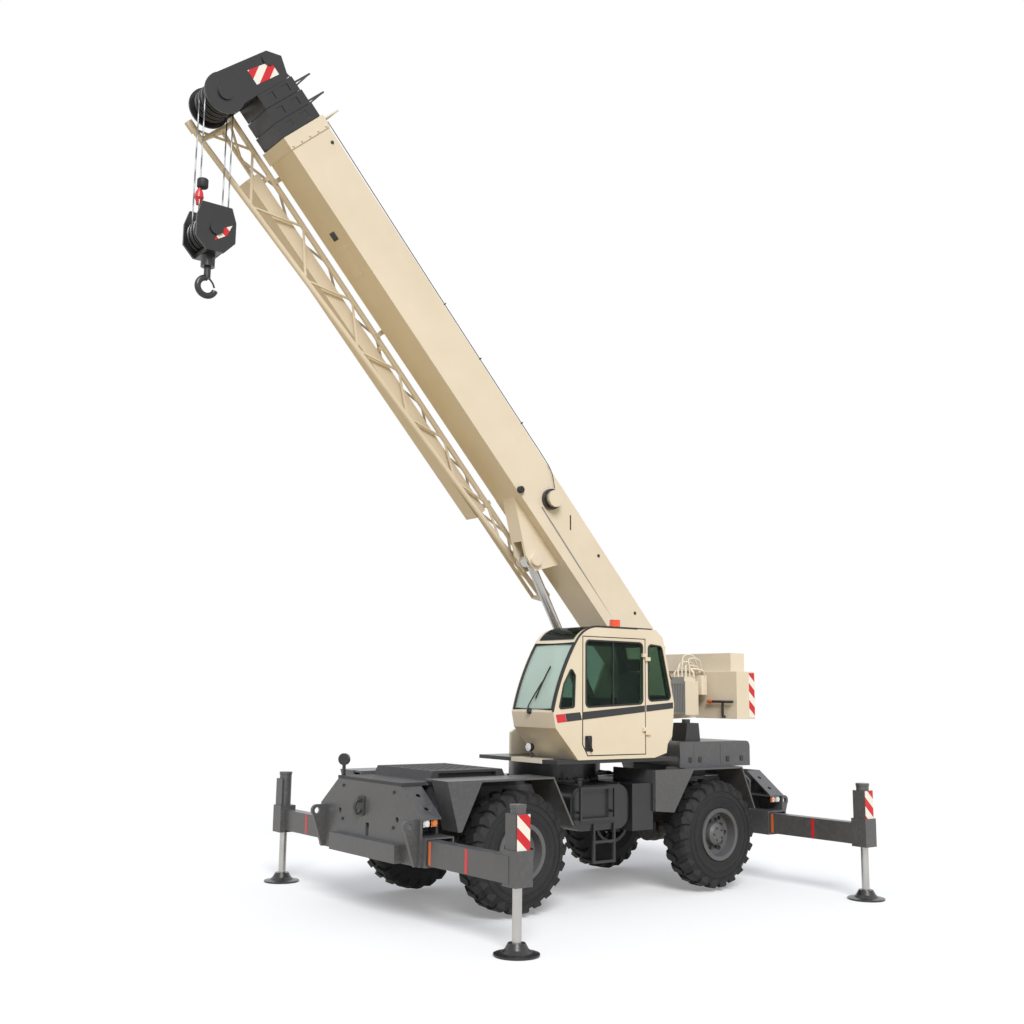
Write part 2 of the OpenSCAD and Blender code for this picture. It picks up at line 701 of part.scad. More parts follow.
// Doorway, drawn in by g on all sides
function door_outline(g) = [
    [700 - 0.565 * g, 1890 + g], [790 - g, 2040 + 0.276 * g], [790 - g, 3450 - g], [-350 + g, 3450 - g],
    [-350 + g, 1890 + g]
];
door_pane = rounded([[730, 2520], [730, 3395], [-295, 3390], [-295, 2570]], 55);
hinge_x = -350;
hinge_y = cab_out + 20;       // the door swings about this upright line outside its rear edge
hinge_r = 16;
hinge_l = 50;
hinge_zs = [2150, 3150];
module cab_solid(y0, y1, inset) {
    translate([0, y1, 0]) rotate([90, 0, 0]) linear_extrude(y1 - y0) offset(delta = -inset) polygon(cab_pts);
}

pane_in = 18;                 // depth of the panes in their frames
front_quarter = rounded([[935, 2520], [1185, 2500], [1110, 2810], [985, 3020], [920, 2930]], 25);
rear_quarter = rounded([[-410, 2605], [-840, 2630], [-660, 3355], [-410, 3375]], 55);
right_pane = rounded([[700, 2640], [-720, 2640], [-600, 3370], [560, 3370]], 55);

// Curved slab of the windscreen, from depth a to b inside the outline
module screen_slab(a, b) {
    t0 = screen_a0 + 0.8;
    t1 = screen_a1 - 0.6;
    side_plate(cab_in + 40, cab_out - cab_in - 80,
        concat(arc(screen_c, screen_r - a, t0, t1, 8), arc(screen_c, screen_r - b, t1, t0, 8)));
}

// Slab along the rear wall, from depth a to b inside it, short of the wall's ends
module back_slab(a, b) {
    short = 120;
    d = back_pts[1] - back_pts[0];
    translate([back_pts[0][0], 0, back_pts[0][1]]) rotate([0, -atan2(d[1], d[0]), 0])
        translate([short, cab_in + 100, a]) cube([norm(d) - 2 * short, cab_out - cab_in - 200, b - a]);
}

module roof_slab(z0, z1) {
    block([120, cab_in + 120, z0], [500, cab_out - 120, z1]);
}

// Lower half of a door hinge with its pin, and the upper half with its leaf on the door
module hinge_pin(z) {
    translate([hinge_x, hinge_y, z]) {
        cylinder(r = hinge_r, h = hinge_l);
        cylinder(r = hinge_r / 2, h = 2 * hinge_l - 4);
        block([-70, cab_out - hinge_y - 1, 0], [0, hinge_r - 2, hinge_l]);
    }
}

module hinge_leaf(z) {
    translate([hinge_x, hinge_y, z + hinge_l + run]) difference() {
        union() {
            cylinder(r = hinge_r, h = hinge_l);
            block([0, -4, 0], [70, hinge_r - 2, hinge_l]);
            block([door_gap, cab_out - hinge_y - 1, 0], [70, hinge_r - 2, hinge_l]);
        }
        translate([0, 0, -1]) cylinder(r = hinge_r / 2 + run, h = hinge_l + 2);
    }
}

module cab() {
    color(cream) place() for (z = hinge_zs) hinge_pin(z);
    color(cream) place() difference() {
        cab_solid(cab_in, cab_out, 0);
        cab_solid(cab_in + cab_wall, cab_out - cab_wall, cab_wall);
        side_plate(cab_out - cab_wall - 1, cab_wall + 2, door_outline(0));
        side_plate(cab_out - cab_wall - 1, cab_wall + 2, front_quarter);
        side_plate(cab_out - cab_wall - 1, cab_wall + 2, rear_quarter);
        side_plate(cab_in - 1, cab_wall + 2, right_pane);
        screen_slab(-70, 70);
        back_slab(-70, 70);
        roof_slab(roof_z - cab_wall - 10, roof_z + 10);
    }
}

module cab_glass() {
    color(pane_green, 0.5) place() {
        side_plate(cab_out - pane_in - pane_t, pane_t, front_quarter);
        side_plate(cab_out - pane_in - pane_t, pane_t, rear_quarter);
        side_plate(cab_in + pane_in, pane_t, right_pane);
        screen_slab(pane_in, pane_in + pane_t);
        back_slab(pane_in, pane_in + pane_t);
        roof_slab(roof_z - pane_in - pane_t, roof_z - pane_in);
    }
}

// Operator's seat, armrest boxes and front console
module cab_interior() {
    color(dark) place() {
        z0 = cab_z0 + cab_wall;
        block([-500, 700, z0], [40, 1080, 2241]);
        block([-480, 660, 2240], [60, 1120, 2360]);
        side_plate(670, 440, [[-500, 2359], [-360, 2359], [-520, 3050], [-620, 3050]]);
        block([-300, 540, z0], [200, 640, 2420]);
        block([560, 640, z0], [760, 1140, 2380]);
    }
}

module beacon() {
    color("#e8551f") place() translate([-180, 900, roof_z]) {
        cylinder(r = 90, h = 40);
        translate([0, 0, 39]) cylinder(r = 76, h = 105);
    }
}

// Cab door with its window
module door() {
    color(cream) place() for (z = hinge_zs) hinge_leaf(z);
    color(cream) place() difference() {
        side_plate(cab_out - cab_wall, cab_wall, door_outline(door_gap));
        side_plate(cab_out - cab_wall - 1, cab_wall + 2, door_pane);
    }
}

module door_glass() {
    color(pane_green, 0.5) place()
        side_plate(cab_out - pane_in - pane_t, pane_t, door_pane);
}

// Lift cylinder, along X from its lower pin
module on_lift() {
    place() translate([lift_x, 0, lift_z]) rotate([0, -lift_tilt, 0]) children();
}

lift_eye_r = 115;
module lift_barrel() {
    color(cream) on_lift() difference() {
        union() {
            y_rod(0, 0, lift_eye_r, -135, 135);
            translate([60, 0, 0]) rotate([0, 90, 0]) cylinder(d = barrel_d, h = barrel_l - 60);
            translate([barrel_l - 70, 0, 0]) rotate([0, 90, 0]) cylinder(d = barrel_d + 24, h = 70);
        }
        y_rod(0, 0, 55 + run, -140, 140);
        translate([130, 0, 0]) rotate([0, 90, 0]) cylinder(d = rod_d + 2 * run, h = barrel_l);
    }
}

module lift_rod() {
    color(steel) on_lift() translate([lift_len, 0, 0]) {
        difference() {
            union() {
                y_rod(0, 0, 105, -75, 75);
                translate([-rod_l, 0, 0]) rotate([0, 90, 0]) cylinder(d = rod_d, h = rod_l - 60);
            }
            y_rod(0, 0, 50, -80, 80);
        }
    }
}

// Boom sections
stow_us = [base_l - 6400, base_l - 2800, base_l - 400];       // brackets of the stowed jib
guide_h = 290;                // height of the rope guides over the collars
module rope_guide(u, y, z) {
    both_sides() translate([u, y, z - 20]) cylinder(d = 26, h = guide_h + 20);
    y_rod(u, z + guide_h - 14, 11, -y, y);
}

module boom_base() {
    color(cream) on_boom() {
        w = boom_w / 2;
        z0 = -foot_up;
        slope = (z0 + 91 - eye_n) / 760;
        difference() {
            union() {
                block([-60, -w, z0], [base_l, w, z0 + boom_h]);
                y_rod(0, 0, foot_up, -w, w);
                side_plate(-w, 2 * w, [[-60, z0 + boom_h], [-240, z0 + boom_h - 200], [-240, 120], [-60, z0]]);
                // front collar
                block([base_l - 170, -w - 14, z0 - 14], [base_l, w + 14, z0 + boom_h + 14]);
                // bracket of the lift cylinder
                both_sides() side_plate(92, 44, [
                    [eye_u - 120, eye_n - 110], [eye_u + 140, eye_n - 90], [eye_u + 900, z0 + 1], [eye_u - 330, z0 + 1]
                ]);
                both_sides() y_rod(eye_u, eye_n, 90, 92, 190);
                // cover over the front of the bracket, clear of the rod's eye
                side_plate(-136, 272, [
                    [eye_u + 330, eye_n - 90 + 190 * slope], [eye_u + 900, z0 + 1], [eye_u + 850, z0 + 1],
                    [eye_u + 330, eye_n - 64 + 190 * slope]
                ]);
                // doublers along the lower edges, and posts that guide the rope over the collar
                both_sides() block([250, w - 1, z0], [eye_u + 896, w + 8, z0 + 155]);
                rope_guide(base_l - 50, w - 25, z0 + boom_h);
            }
            block([200, -w + boom_wall, z0 + boom_wall], [base_l + 1, w - boom_wall, z0 + boom_h - boom_wall]);
            y_rod(0, 0, foot_pin_d / 2 + run, -w - 1, w + 1);
        }
        // stow brackets that carry the jib
        for (u = stow_us) block([u, -w - 72, 60], [u + 80, -w + 1, 160]);
    }
}

// Length-indicator reel on the base section's left face
module cable_reel() {
    color(cream) on_boom() translate([eye_u + 540, boom_w / 2, 290]) rotate([-90, 0, 0]) {
        cylinder(r = 150, h = 60);
        translate([0, 0, 59]) cylinder(r = 120, h = 80);
    }
}

module inner_section(i, x0, front) {
    w = section_w(i);
    h = section_h(i);
    z0 = -foot_up + i * step_in / 2;
    pad_t = boom_gap - run;
    pad = 240;
    box_tube(x0, front, w, h, boom_wall, z0);
    // wear pads at the tail, against the section around it
    for (z = [z0 - pad_t, z0 + h - 1]) block([x0, -w / 3, z], [x0 + pad, w / 3, z + pad_t + 1]);
    both_sides() block([x0, w / 2 - 1, z0 + h / 5], [x0 + pad, w / 2 + pad_t, z0 + h * 4 / 5]);
}

// Dark collar at the front of an inner section, as large as the base
module collar(i, x0) {
    w = boom_w - 24 * i;
    h = boom_h - 24 * i;
    z0 = -foot_up + 12 * i;
    difference() {
        block([x0, -w / 2, z0], [x0 + collar_l, w / 2, z0 + h]);
        block([x0 - 1, -section_w(i) / 2 + boom_wall, -foot_up + i * step_in / 2 + boom_wall],
            [x0 + collar_l + 1, section_w(i) / 2 - boom_wall, -foot_up + i * step_in / 2 + section_h(i) - boom_wall]);
        // shallow slots in both sides
        both_sides() for (f = [0.2, 0.62])
            block([x0 + 45, w / 2 - 8, z0 + h * f], [x0 + collar_l - 45, w / 2 + 1, z0 + h * f + 110]);
    }
}

function collar_x(i) = base_l + collar_gap + (i - 1) * (collar_l + collar_gap);

module boom_mid_1() {
    color(dark) on_boom() {
        inner_section(1, 330, collar_x(1) + 1);
        collar(1, collar_x(1));
    }
}

module boom_mid_2() {
    color(dark) on_boom() {
        inner_section(2, 380, collar_x(2) + 1);
        collar(2, collar_x(2));
        rope_guide(collar_x(2) + 30, section_w(2) / 2, -foot_up + boom_h - 24);
    }
}

// Tip section with the head's two side plates
head_y = 232;
head_t = 30;
module boom_tip() {
    color(dark) on_boom() {
        inner_section(3, 430, collar_x(3) + 1);
        collar(3, collar_x(3));
        both_sides() side_plate(head_y, head_t, [
            for (k = [0 : len(head_l) - 1]) [head_l[k], head_n[k] - foot_up],
            [collar_x(3) + collar_l - 1, -60], [collar_x(3) + collar_l - 1, 440]
        ]);
        both_sides() {
            y_rod(sheave_u, sheave_n, nose_r, head_y, head_y + head_t);
            y_rod(sheave_u, sheave_n, 95, head_y + head_t - 1, head_y + head_t + 22);
            y_rod(base_l + 900, 380, 80, head_y + head_t - 1, head_y + head_t + 18);
        }
        rope_guide(collar_x(3) + 110, section_w(3) / 2, -foot_up + boom_h - 36);
        y_rod(sheave_u, sheave_n, 45, -head_y - head_t, head_y + head_t);
        y_rod(base_l + 900, 380, 40, -head_y - head_t, head_y + head_t);
    }
}

sheave_ys = [-140, -46, 46, 140];
module sheave(u, n, y, r) {
    translate([u, y, n]) rotate([90, 0, 0]) rotate_extrude() polygon([
        [45 + run, -34], [r, -28], [r, -18], [r - groove, -6], [r - groove, 6], [r, 18], [r, 28], [45 + run, 34]
    ]);
}

module head_sheaves() {
    color(dark) on_boom() for (y = sheave_ys) sheave(sheave_u, sheave_n, y, sheave_r);
}

// Lattice jib stowed along the boom's right side
jib_u1 = base_l + 700;
jib_u0 = base_l - 7350;
jib_bays = 14;
jib_y_in = -boom_w / 2 - 72;
function jib_f(k) = k / jib_bays;
function jib_u(f) = jib_u1 + f * (jib_u0 - jib_u1);
function jib_low(f) = -594 + f * 404 - foot_up;
function jib_top(f) = -17 - f * 70 - foot_up;
jib_in = jib_y_in - 60;       // plane of the inner lattice
stinger_w = 260;              // width of the pull-out section stowed behind it
stinger_y = jib_in - 50;
jib_out = stinger_y - stinger_w - 45;
// Points at share f of the length: 0 lower chord, 1 upper chord, 2 outer chord
function jib_pt(f, c) = [jib_u(f), c < 2 ? jib_in : jib_out, c == 0 ? jib_low(f) : jib_top(f)];
module jib() {
    chord = 76;
    lace = 38;
    s1 = jib_u1 - 850;
    s0 = jib_u0 + 1650;
    s_top = -120 - foot_up;
    s_h = 200;
    s_wall = 12;
    color(cream) on_boom() {
        for (c = [0 : 2]) bar(jib_pt(0, c), jib_pt(1, c), c == 2 ? chord - 16 : chord, 12);
        for (k = [0 : jib_bays - 1]) {
            e = k % 2;
            bar(jib_pt(jib_f(k), e), jib_pt(jib_f(k + 1), 1 - e), lace, 6);
            bar(jib_pt(jib_f(k), 1 + e), jib_pt(jib_f(k + 1), 2 - e), lace, 6);
        }
        for (f = [0.02, 1], c = [0 : 2]) bar(jib_pt(f, c), jib_pt(f, (c + 1) % 3), lace + 20, 8);
        for (c = [0, 1]) block(jib_pt(0, c) - [40, 30, 45], jib_pt(0, c) + [110, 30, 45]);
        // pull-out section behind the lattice
        difference() {
            block([s0, stinger_y - stinger_w, s_top - s_h], [s1, stinger_y, s_top]);
            block([s0 + 20, stinger_y - stinger_w + s_wall, s_top - s_h + s_wall], [s1 + 1, stinger_y - s_wall, s_top - s_wall]);
        }
        for (u = [s0 + 60, (s0 + s1) / 2, s1 - 120]) saddle(u, s_top);
        for (u = stow_us) jib_hanger(u + 40);
    }
}

// Straps that hold the pull-out section to the upper chords
module saddle(u, s_top) {
    block([u - 30, jib_out - 20, s_top - 1], [u + 30, jib_in + 20, s_top + 30]);
    block([u - 30, jib_in - 20, s_top], [u + 30, jib_in + 20, jib_top(0)]);
    block([u - 30, jib_out - 20, s_top], [u + 30, jib_out + 20, jib_top(0)]);
}

module jib_hanger(u) {
    f = (u - jib_u1) / (jib_u0 - jib_u1);
    block([u - 30, jib_y_in - 70, jib_top(f) - 20], [u + 30, jib_y_in, 150]);
}

// Hook block, hanging plumb from the head sheaves
block_z = hang_z - hook_drop;
axle_z = block_z - 300;       // axle of the block's sheaves
groove = 26;                  // depth of a sheave's groove
rope_off = sheave_r - groove + rope_d / 2 + 1;
block_h = 730;
bend_r = 112;                 // centre line of the hook's bend
hook_bar = 38;                // half thickness of the hook
hook_z = hang_z - 2570 + bend_r + hook_bar;
module rope_falls() {
    color(steel) place() for (k = [0 : 3])
        translate([hang_x + (k % 2 == 0 ? -1 : 1) * rope_off, sheave_ys[k], axle_z])
            cylinder(d = rope_d, h = hang_z - axle_z, $fn = 12);
}

module hook_block() {
    color(dark) place() {
        both_sides() side_plate(182, 34, [
            for (p = [[-190, 0], [190, 0], [250, -180], [250, -440], [110, -590], [-110, -590], [-250, -440], [-250, -180]])
                [hang_x + p[0], block_z + p[1]]
        ]);
        y_rod(hang_x, axle_z, 46, -183, 183);
        both_sides() y_rod(hang_x, axle_z, 84, 215, 238);
        for (y = sheave_ys) sheave(hang_x, axle_z, y, sheave_r);
        block([hang_x - 90, -183, block_z - 590], [hang_x + 90, 183, block_z - 530]);
        translate([hang_x, 0, block_z - block_h]) cylinder(r = 85, h = block_h - 560);
    }
}

module hook() {
    color(dark) place() translate([hang_x, 0, hook_z]) mirror([1, 0, 0]) {
        translate([0, 0, bend_r - 10]) cylinder(r = hook_bar + 4, h = block_z - block_h - hook_z - bend_r + 10);
        rotate([90, 0, 0]) rotate([0, 0, 90]) rotate_extrude(angle = 250) translate([bend_r, 0]) circle(r = hook_bar);
    }
}

chassis();
deck();
front_box();
rear_box();
fenders();
hood();
engine();
tank();
lamps();
road_mirror();
front_axle();
rear_axle();
slew_bearing();
beam_fl();
beam_fr();
beam_rl();
beam_rr();
jack_fl();
jack_fr();
jack_rl();
jack_rr();
knuckle_fl();
knuckle_fr();
knuckle_rl();
knuckle_rr();
rim_fl();
rim_fr();
rim_rl();
rim_rr();
tyre_fl();
tyre_fr();
tyre_rl();
tyre_rr();
turntable();
counterweight();
winch();
cooler();
cab();
cab_glass();
cab_interior();
beacon();
door();
door_glass();
lift_barrel();
lift_rod();
boom_base();
cable_reel();
jib();
boom_mid_1();
boom_mid_2();
boom_tip();
head_sheaves();
rope_falls();
hook_block();
hook();
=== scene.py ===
import json
import math

import bpy
import numpy as np
from mathutils import Matrix, Vector


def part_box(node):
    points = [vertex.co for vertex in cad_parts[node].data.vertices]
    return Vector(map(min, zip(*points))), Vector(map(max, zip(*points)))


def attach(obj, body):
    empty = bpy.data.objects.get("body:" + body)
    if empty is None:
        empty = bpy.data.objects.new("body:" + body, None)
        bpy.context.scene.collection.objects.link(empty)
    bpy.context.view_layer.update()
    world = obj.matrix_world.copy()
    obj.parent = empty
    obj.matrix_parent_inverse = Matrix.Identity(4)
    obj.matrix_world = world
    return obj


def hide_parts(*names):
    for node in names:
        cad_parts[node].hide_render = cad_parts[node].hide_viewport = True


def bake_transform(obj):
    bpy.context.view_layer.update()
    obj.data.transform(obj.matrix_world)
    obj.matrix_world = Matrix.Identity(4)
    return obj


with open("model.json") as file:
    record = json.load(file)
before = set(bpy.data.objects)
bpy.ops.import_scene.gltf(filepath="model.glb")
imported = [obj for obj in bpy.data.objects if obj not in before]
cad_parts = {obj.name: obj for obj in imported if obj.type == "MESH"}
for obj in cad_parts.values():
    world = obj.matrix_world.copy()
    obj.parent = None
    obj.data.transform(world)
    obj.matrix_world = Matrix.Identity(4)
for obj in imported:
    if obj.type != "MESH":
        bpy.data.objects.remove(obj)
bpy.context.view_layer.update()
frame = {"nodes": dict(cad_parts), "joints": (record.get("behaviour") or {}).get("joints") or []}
nodes = frame["nodes"]
joints = {joint["name"]: joint for joint in frame["joints"]}
corners = ["fl", "fr", "rl", "rr"]
sides = {"left": 1, "right": -1}


def boxOf(name):
    # lowest and highest corner of a node as two arrays
    lo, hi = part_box(name)
    return np.array(lo), np.array(hi)


def middleOf(name):
    # middle of a node's box
    lo, hi = boxOf(name)
    return (lo + hi) / 2


# measuring origin: middle of the wheelbase, on the tyres' lowest line
wheelMid = (middleOf("tyre_fl")[0] + middleOf("tyre_rl")[0]) / 2
tyreLow = boxOf("tyre_fl")[0][2]


def spot(x, y, z):
    # points from three coordinates, each a number or an array of numbers
    return np.stack(np.broadcast_arrays(np.asarray(x, dtype=float), y, z), -1)


def at(x, y, z):
    # metres ahead of the middle of the wheelbase, to the left, over the tyres' lowest line
    return spot(x + wheelMid, y, z + tyreLow)


# the boom's own axes, from its foot pin and its lowest luffing angle
foot = np.array(joints["luff"]["pos_m"])
boomTilt = math.radians(-joints["luff"]["range_deg"][0])
alongBoom = np.array([math.cos(boomTilt), 0, math.sin(boomTilt)])
acrossBoom = np.array([-math.sin(boomTilt), 0, math.cos(boomTilt)])
leftward = np.array([0.0, 1.0, 0.0])


def onBoom(u, y, n):
    # metres along the boom from its foot pin, to the left, and up across it
    return (foot + np.multiply.outer(u, alongBoom) + np.multiply.outer(y, leftward)
            + np.multiply.outer(n, acrossBoom))


print("frame loaded:", len(nodes), "nodes")


# colours and nodes
def linear(hexColour):
    # sRGB hex to linear RGBA: each channel by the sRGB curve
    channels = np.array([int(hexColour[k:k + 2], 16) for k in (1, 3, 5)]) / 255
    curve = np.where(channels <= 0.04045, channels / 12.92, ((channels + 0.055) / 1.055) ** 2.4)
    return (*curve, 1.0)


def addNode(tree, kind, inputs=None, **settings):
    # one shader node with its settings; an input is a value or another node's output
    node = tree.nodes.new("ShaderNode" + kind)
    for key, value in settings.items():
        setattr(node, key, value)
    for socket, value in (inputs or {}).items():
        if isinstance(value, bpy.types.NodeSocket):
            tree.links.new(value, node.inputs[socket])
        else:
            node.inputs[socket].default_value = value
    return node


def newMaterial(name):
    # an empty node material with its tree and object coordinates
    material = bpy.data.materials.new(name)
    material.use_nodes = True
    tree = material.node_tree
    tree.nodes.clear()
    return material, tree, addNode(tree, "TexCoord").outputs["Object"]


def finishWith(material, tree, shader):
    # joins a shader to the material's surface
    tree.links.new(shader, addNode(tree, "OutputMaterial").inputs["Surface"])
    return material


def principled(tree, inputs):
    # the shader of a principled surface
    return addNode(tree, "BsdfPrincipled", inputs).outputs["BSDF"]


def noise(tree, place, lengthMm, detail, rough=0.5):
    # fractal noise whose clouds are about lengthMm long
    inputs = {"Vector": place, "Scale": 1000 / lengthMm, "Detail": detail, "Roughness": rough}
    return addNode(tree, "TexNoise", inputs).outputs["Fac"]


def cells(tree, place, sizeMm):
    # distance to the nearest of scattered points about sizeMm apart
    return addNode(tree, "TexVoronoi", {"Vector": place, "Scale": 1000 / sizeMm}).outputs["Distance"]


def waves(tree, place, scale, direction):
    # sine bands along a direction
    inputs = {"Vector": place, "Scale": scale}
    return addNode(tree, "TexWave", inputs, bands_direction=direction).outputs["Fac"]


def bumped(tree, height, strength, distance=0.002):
    # normal tilted by the slope of a height
    inputs = {"Height": height, "Strength": strength, "Distance": distance}
    return addNode(tree, "Bump", inputs).outputs["Normal"]


def spread(tree, value, low, high, start=0.0, stop=1.0):
    # value from start to stop, stretched to run from low to high
    inputs = {"Value": value, "From Min": start, "From Max": stop, "To Min": low, "To Max": high}
    return addNode(tree, "MapRange", inputs).outputs["Result"]


def reckon(tree, operation, first, second=0.0):
    # one sum of two values
    return addNode(tree, "Math", {0: first, 1: second}, operation=operation).outputs[0]


def mixColours(tree, share, first, second):
    # colour between two by a share
    return addNode(tree, "Mix", {"Factor": share, 6: first, 7: second}, data_type="RGBA").outputs[2]


def mixShaders(tree, share, first, second):
    # shader between two by a share
    return addNode(tree, "MixShader", {"Fac": share, 1: first, 2: second}).outputs[0]


def toneRamp(tree, fac, stops):
    # colour ramp from (position, hex) stops
    ramp = addNode(tree, "ValToRGB", {"Fac": fac})
    while len(ramp.color_ramp.elements) < len(stops):
        ramp.color_ramp.elements.new(0.5)
    for element, (position, colour) in zip(ramp.color_ramp.elements, stops):
        element.position = position
        element.color = linear(colour)
    return ramp.outputs["Color"]


def sprayedPaint(name, light, dark, rough, peelMm=14, coat=0.25, dust=None):
    # two-pack enamel sprayed on steel: an even coat with faint clouds of tone,
    # an orange-peel skin drawn coarser than its real 3 mm so that it shows, and specks of dust
    material, tree, place = newMaterial(name)
    tone = toneRamp(tree, noise(tree, place, 900, 4.0, 0.55), [(0.3, dark), (0.62, light)])
    specks = noise(tree, place, 50, 3.0)
    if dust:
        tone = mixColours(tree, spread(tree, specks, 0.0, 0.35, 0.48, 0.8), tone, linear(dust))
    return finishWith(material, tree, principled(tree, {
        "Base Color": tone, "Roughness": spread(tree, specks, rough - 0.05, rough + 0.07, 0.3, 0.7),
        "Normal": bumped(tree, noise(tree, place, peelMm, 1.0), 0.05),
        "Coat Weight": coat, "Coat Roughness": 0.2,
    }))


def castIron(name, light, dark, rough):
    # painted cast iron: sand-cast skin of fine pits, oily patches that shine a little more
    material, tree, place = newMaterial(name)
    patches = noise(tree, place, 200, 5.0)
    return finishWith(material, tree, principled(tree, {
        "Base Color": toneRamp(tree, patches, [(0.35, dark), (0.65, light)]),
        "Roughness": spread(tree, patches, rough - 0.12, rough + 0.1),
        "Normal": bumped(tree, cells(tree, place, 18), 0.12, 0.003),
    }))


def hardChrome(name):
    # ground and chromed rod: bright metal with faint cloudy marks
    material, tree, place = newMaterial(name)
    marks = noise(tree, place, 400, 2.0)
    return finishWith(material, tree, principled(tree, {
        "Base Color": toneRamp(tree, marks, [(0.3, "#b3b1ad"), (0.7, "#c4c2be")]),
        "Metallic": 0.9, "Roughness": spread(tree, marks, 0.2, 0.3),
    }))


def tyreRubber(name):
    # moulded natural rubber: carbon black, dull, with mould grain and greyer scuffed patches
    material, tree, place = newMaterial(name)
    scuffs = noise(tree, place, 120, 6.0, 0.6)
    return finishWith(material, tree, principled(tree, {
        "Base Color": toneRamp(tree, scuffs, [(0.35, "#101011"), (0.6, "#171718"), (0.8, "#232324")]),
        "Roughness": 0.72, "Normal": bumped(tree, noise(tree, place, 12, 3.0), 0.25, 0.003), "IOR": 1.52,
    }))


def tintedGlass(name, through="#c9dbd2", body="#2b3a34", hazeAndGlare=0.12):
    # laminated pane tinted green in the melt: clear through, sharp reflections, a little dust; a pale body at
    # a large share paints a reflection over the pane
    material, tree, place = newMaterial(name)
    film = noise(tree, place, 250, 3.0)
    clear = addNode(tree, "BsdfTransparent", {"Color": linear(through)}).outputs[0]
    gloss = principled(tree, {
        "Base Color": linear(body), "Roughness": spread(tree, film, 0.02, 0.07), "IOR": 1.52,
    })
    return finishWith(material, tree, mixShaders(tree, spread(tree, film, hazeAndGlare, hazeAndGlare + 0.1), clear, gloss))


def mouldedLens(name, light, dark):
    # ribbed acrylic lens: deep colour, glossy, fine slanting flutes
    material, tree, place = newMaterial(name)
    flutes = waves(tree, place, 1000 / 60, "DIAGONAL")
    return finishWith(material, tree, principled(tree, {
        "Base Color": toneRamp(tree, flutes, [(0.2, dark), (0.8, light)]), "Roughness": 0.18,
        "Normal": bumped(tree, flutes, 0.3), "IOR": 1.49, "Coat Weight": 0.5, "Coat Roughness": 0.08,
    }))


def mouldedPlastic(name, light, dark, rough=0.55):
    # grained ABS moulding: matt, leather-like grain drawn coarser than life
    material, tree, place = newMaterial(name)
    grain = cells(tree, place, 14)
    return finishWith(material, tree, principled(tree, {
        "Base Color": toneRamp(tree, grain, [(0.1, dark), (0.6, light)]), "Roughness": rough,
        "Normal": bumped(tree, grain, 0.15),
    }))


def galvanisedWire(name):
    # galvanised wire rope: grey zinc, strands that wind round it every 120 mm
    material, tree, place = newMaterial(name)
    lay = waves(tree, place, 1000 / 120 / 4, "DIAGONAL")
    return finishWith(material, tree, principled(tree, {
        "Base Color": toneRamp(tree, lay, [(0.2, "#55585b"), (0.8, "#9a9da0")]),
        "Metallic": 0.7, "Roughness": 0.45, "Normal": bumped(tree, lay, 0.5),
    }))


def wovenCloth(name, light, dark):
    # plain-woven seat cloth: warp and weft 6 mm apart, drawn coarser than life
    material, tree, place = newMaterial(name)
    warp, weft = [waves(tree, place, 1000 / 6 / 20, direction) for direction in "XZ"]
    weave = reckon(tree, "MULTIPLY", warp, weft)
    return finishWith(material, tree, principled(tree, {
        "Base Color": toneRamp(tree, weave, [(0.1, dark), (0.7, light)]), "Roughness": 0.85,
        "Normal": bumped(tree, weave, 0.3), "Sheen Weight": 0.3,
    }))


def warningStripes(name, stripeMm, slope, across="Y"):
    # retro-reflective sheet printed with red and white bars, a fine hexagon cell pattern in it
    material, tree, place = newMaterial(name)
    parts = addNode(tree, "SeparateXYZ", {"Vector": place}).outputs
    along = reckon(tree, "ADD", parts["Z"], reckon(tree, "MULTIPLY", parts[across], slope))
    saw = reckon(tree, "FRACT", reckon(tree, "MULTIPLY", along, 1000 / stripeMm / 2))
    bars = reckon(tree, "GREATER_THAN", saw, 0.5)
    return finishWith(material, tree, principled(tree, {
        "Base Color": mixColours(tree, bars, linear("#c8202b"), linear("#e9e7e2")),
        "Roughness": spread(tree, cells(tree, place, 12), 0.25, 0.45),
    }))


boomPaint = sprayedPaint("creamEnamel", "#ded3bf", "#d7cbb5", 0.34)
carrierPaint = sprayedPaint("charcoalEnamel", "#505154", "#48494c", 0.4, dust="#6c6a65")
blackPaint = sprayedPaint("blackEnamel", "#242426", "#1d1d1f", 0.34)
machinery = castIron("castIronPainted", "#3b3c3e", "#2a2b2d", 0.5)
rubber = tyreRubber("mouldedRubber")
chrome = hardChrome("hardChrome")
pane = tintedGlass("tintedGlass")
amberLens = mouldedLens("amberAcrylic", "#e8862a", "#c4601a")
beaconLens = mouldedLens("orangeAcrylic", "#f0592a", "#d9401a")
trim = mouldedPlastic("grainedPlastic", "#2b2c2d", "#1d1e1f")
wire = galvanisedWire("galvanisedWire")
redPaint = sprayedPaint("redEnamel", "#cf2a35", "#c0242f", 0.35)
orangePaint = sprayedPaint("orangeEnamel", "#e0682a", "#cf5c22", 0.4)
seatCloth = wovenCloth("seatCloth", "#3b3d42", "#25272b")
whiteLens = mouldedLens("clearAcrylic", "#e9ebec", "#c9cdd0")
hoseRubber = mouldedPlastic("braidedHose", "#232425", "#161718", 0.6)
sideChevrons = warningStripes("reflectiveSheetSide", 125, -0.9, "X")
headChevrons = warningStripes("reflectiveSheetHead", 290, 3.0, "X")
smokedGlass = tintedGlass("smokedGlass", "#3c4a45", "#20302b", 0.25)
# windscreen: a near-white body at over half share is a painted reflection of the sky on the pane
screenReflectionGlass = tintedGlass("windscreenGlass", "#d3e2dc", "#cfe4dc", 0.55)
gripCoat = sprayedPaint("gritGripCoat", "#3a3a3c", "#313133", 0.6, 6, 0.0)
rimPaint = sprayedPaint("darkGreyEnamel", "#56575a", "#4b4c4f", 0.42)
finGrey = sprayedPaint("finGreyEnamel", "#8d8f90", "#808283", 0.5)
print("materials made")

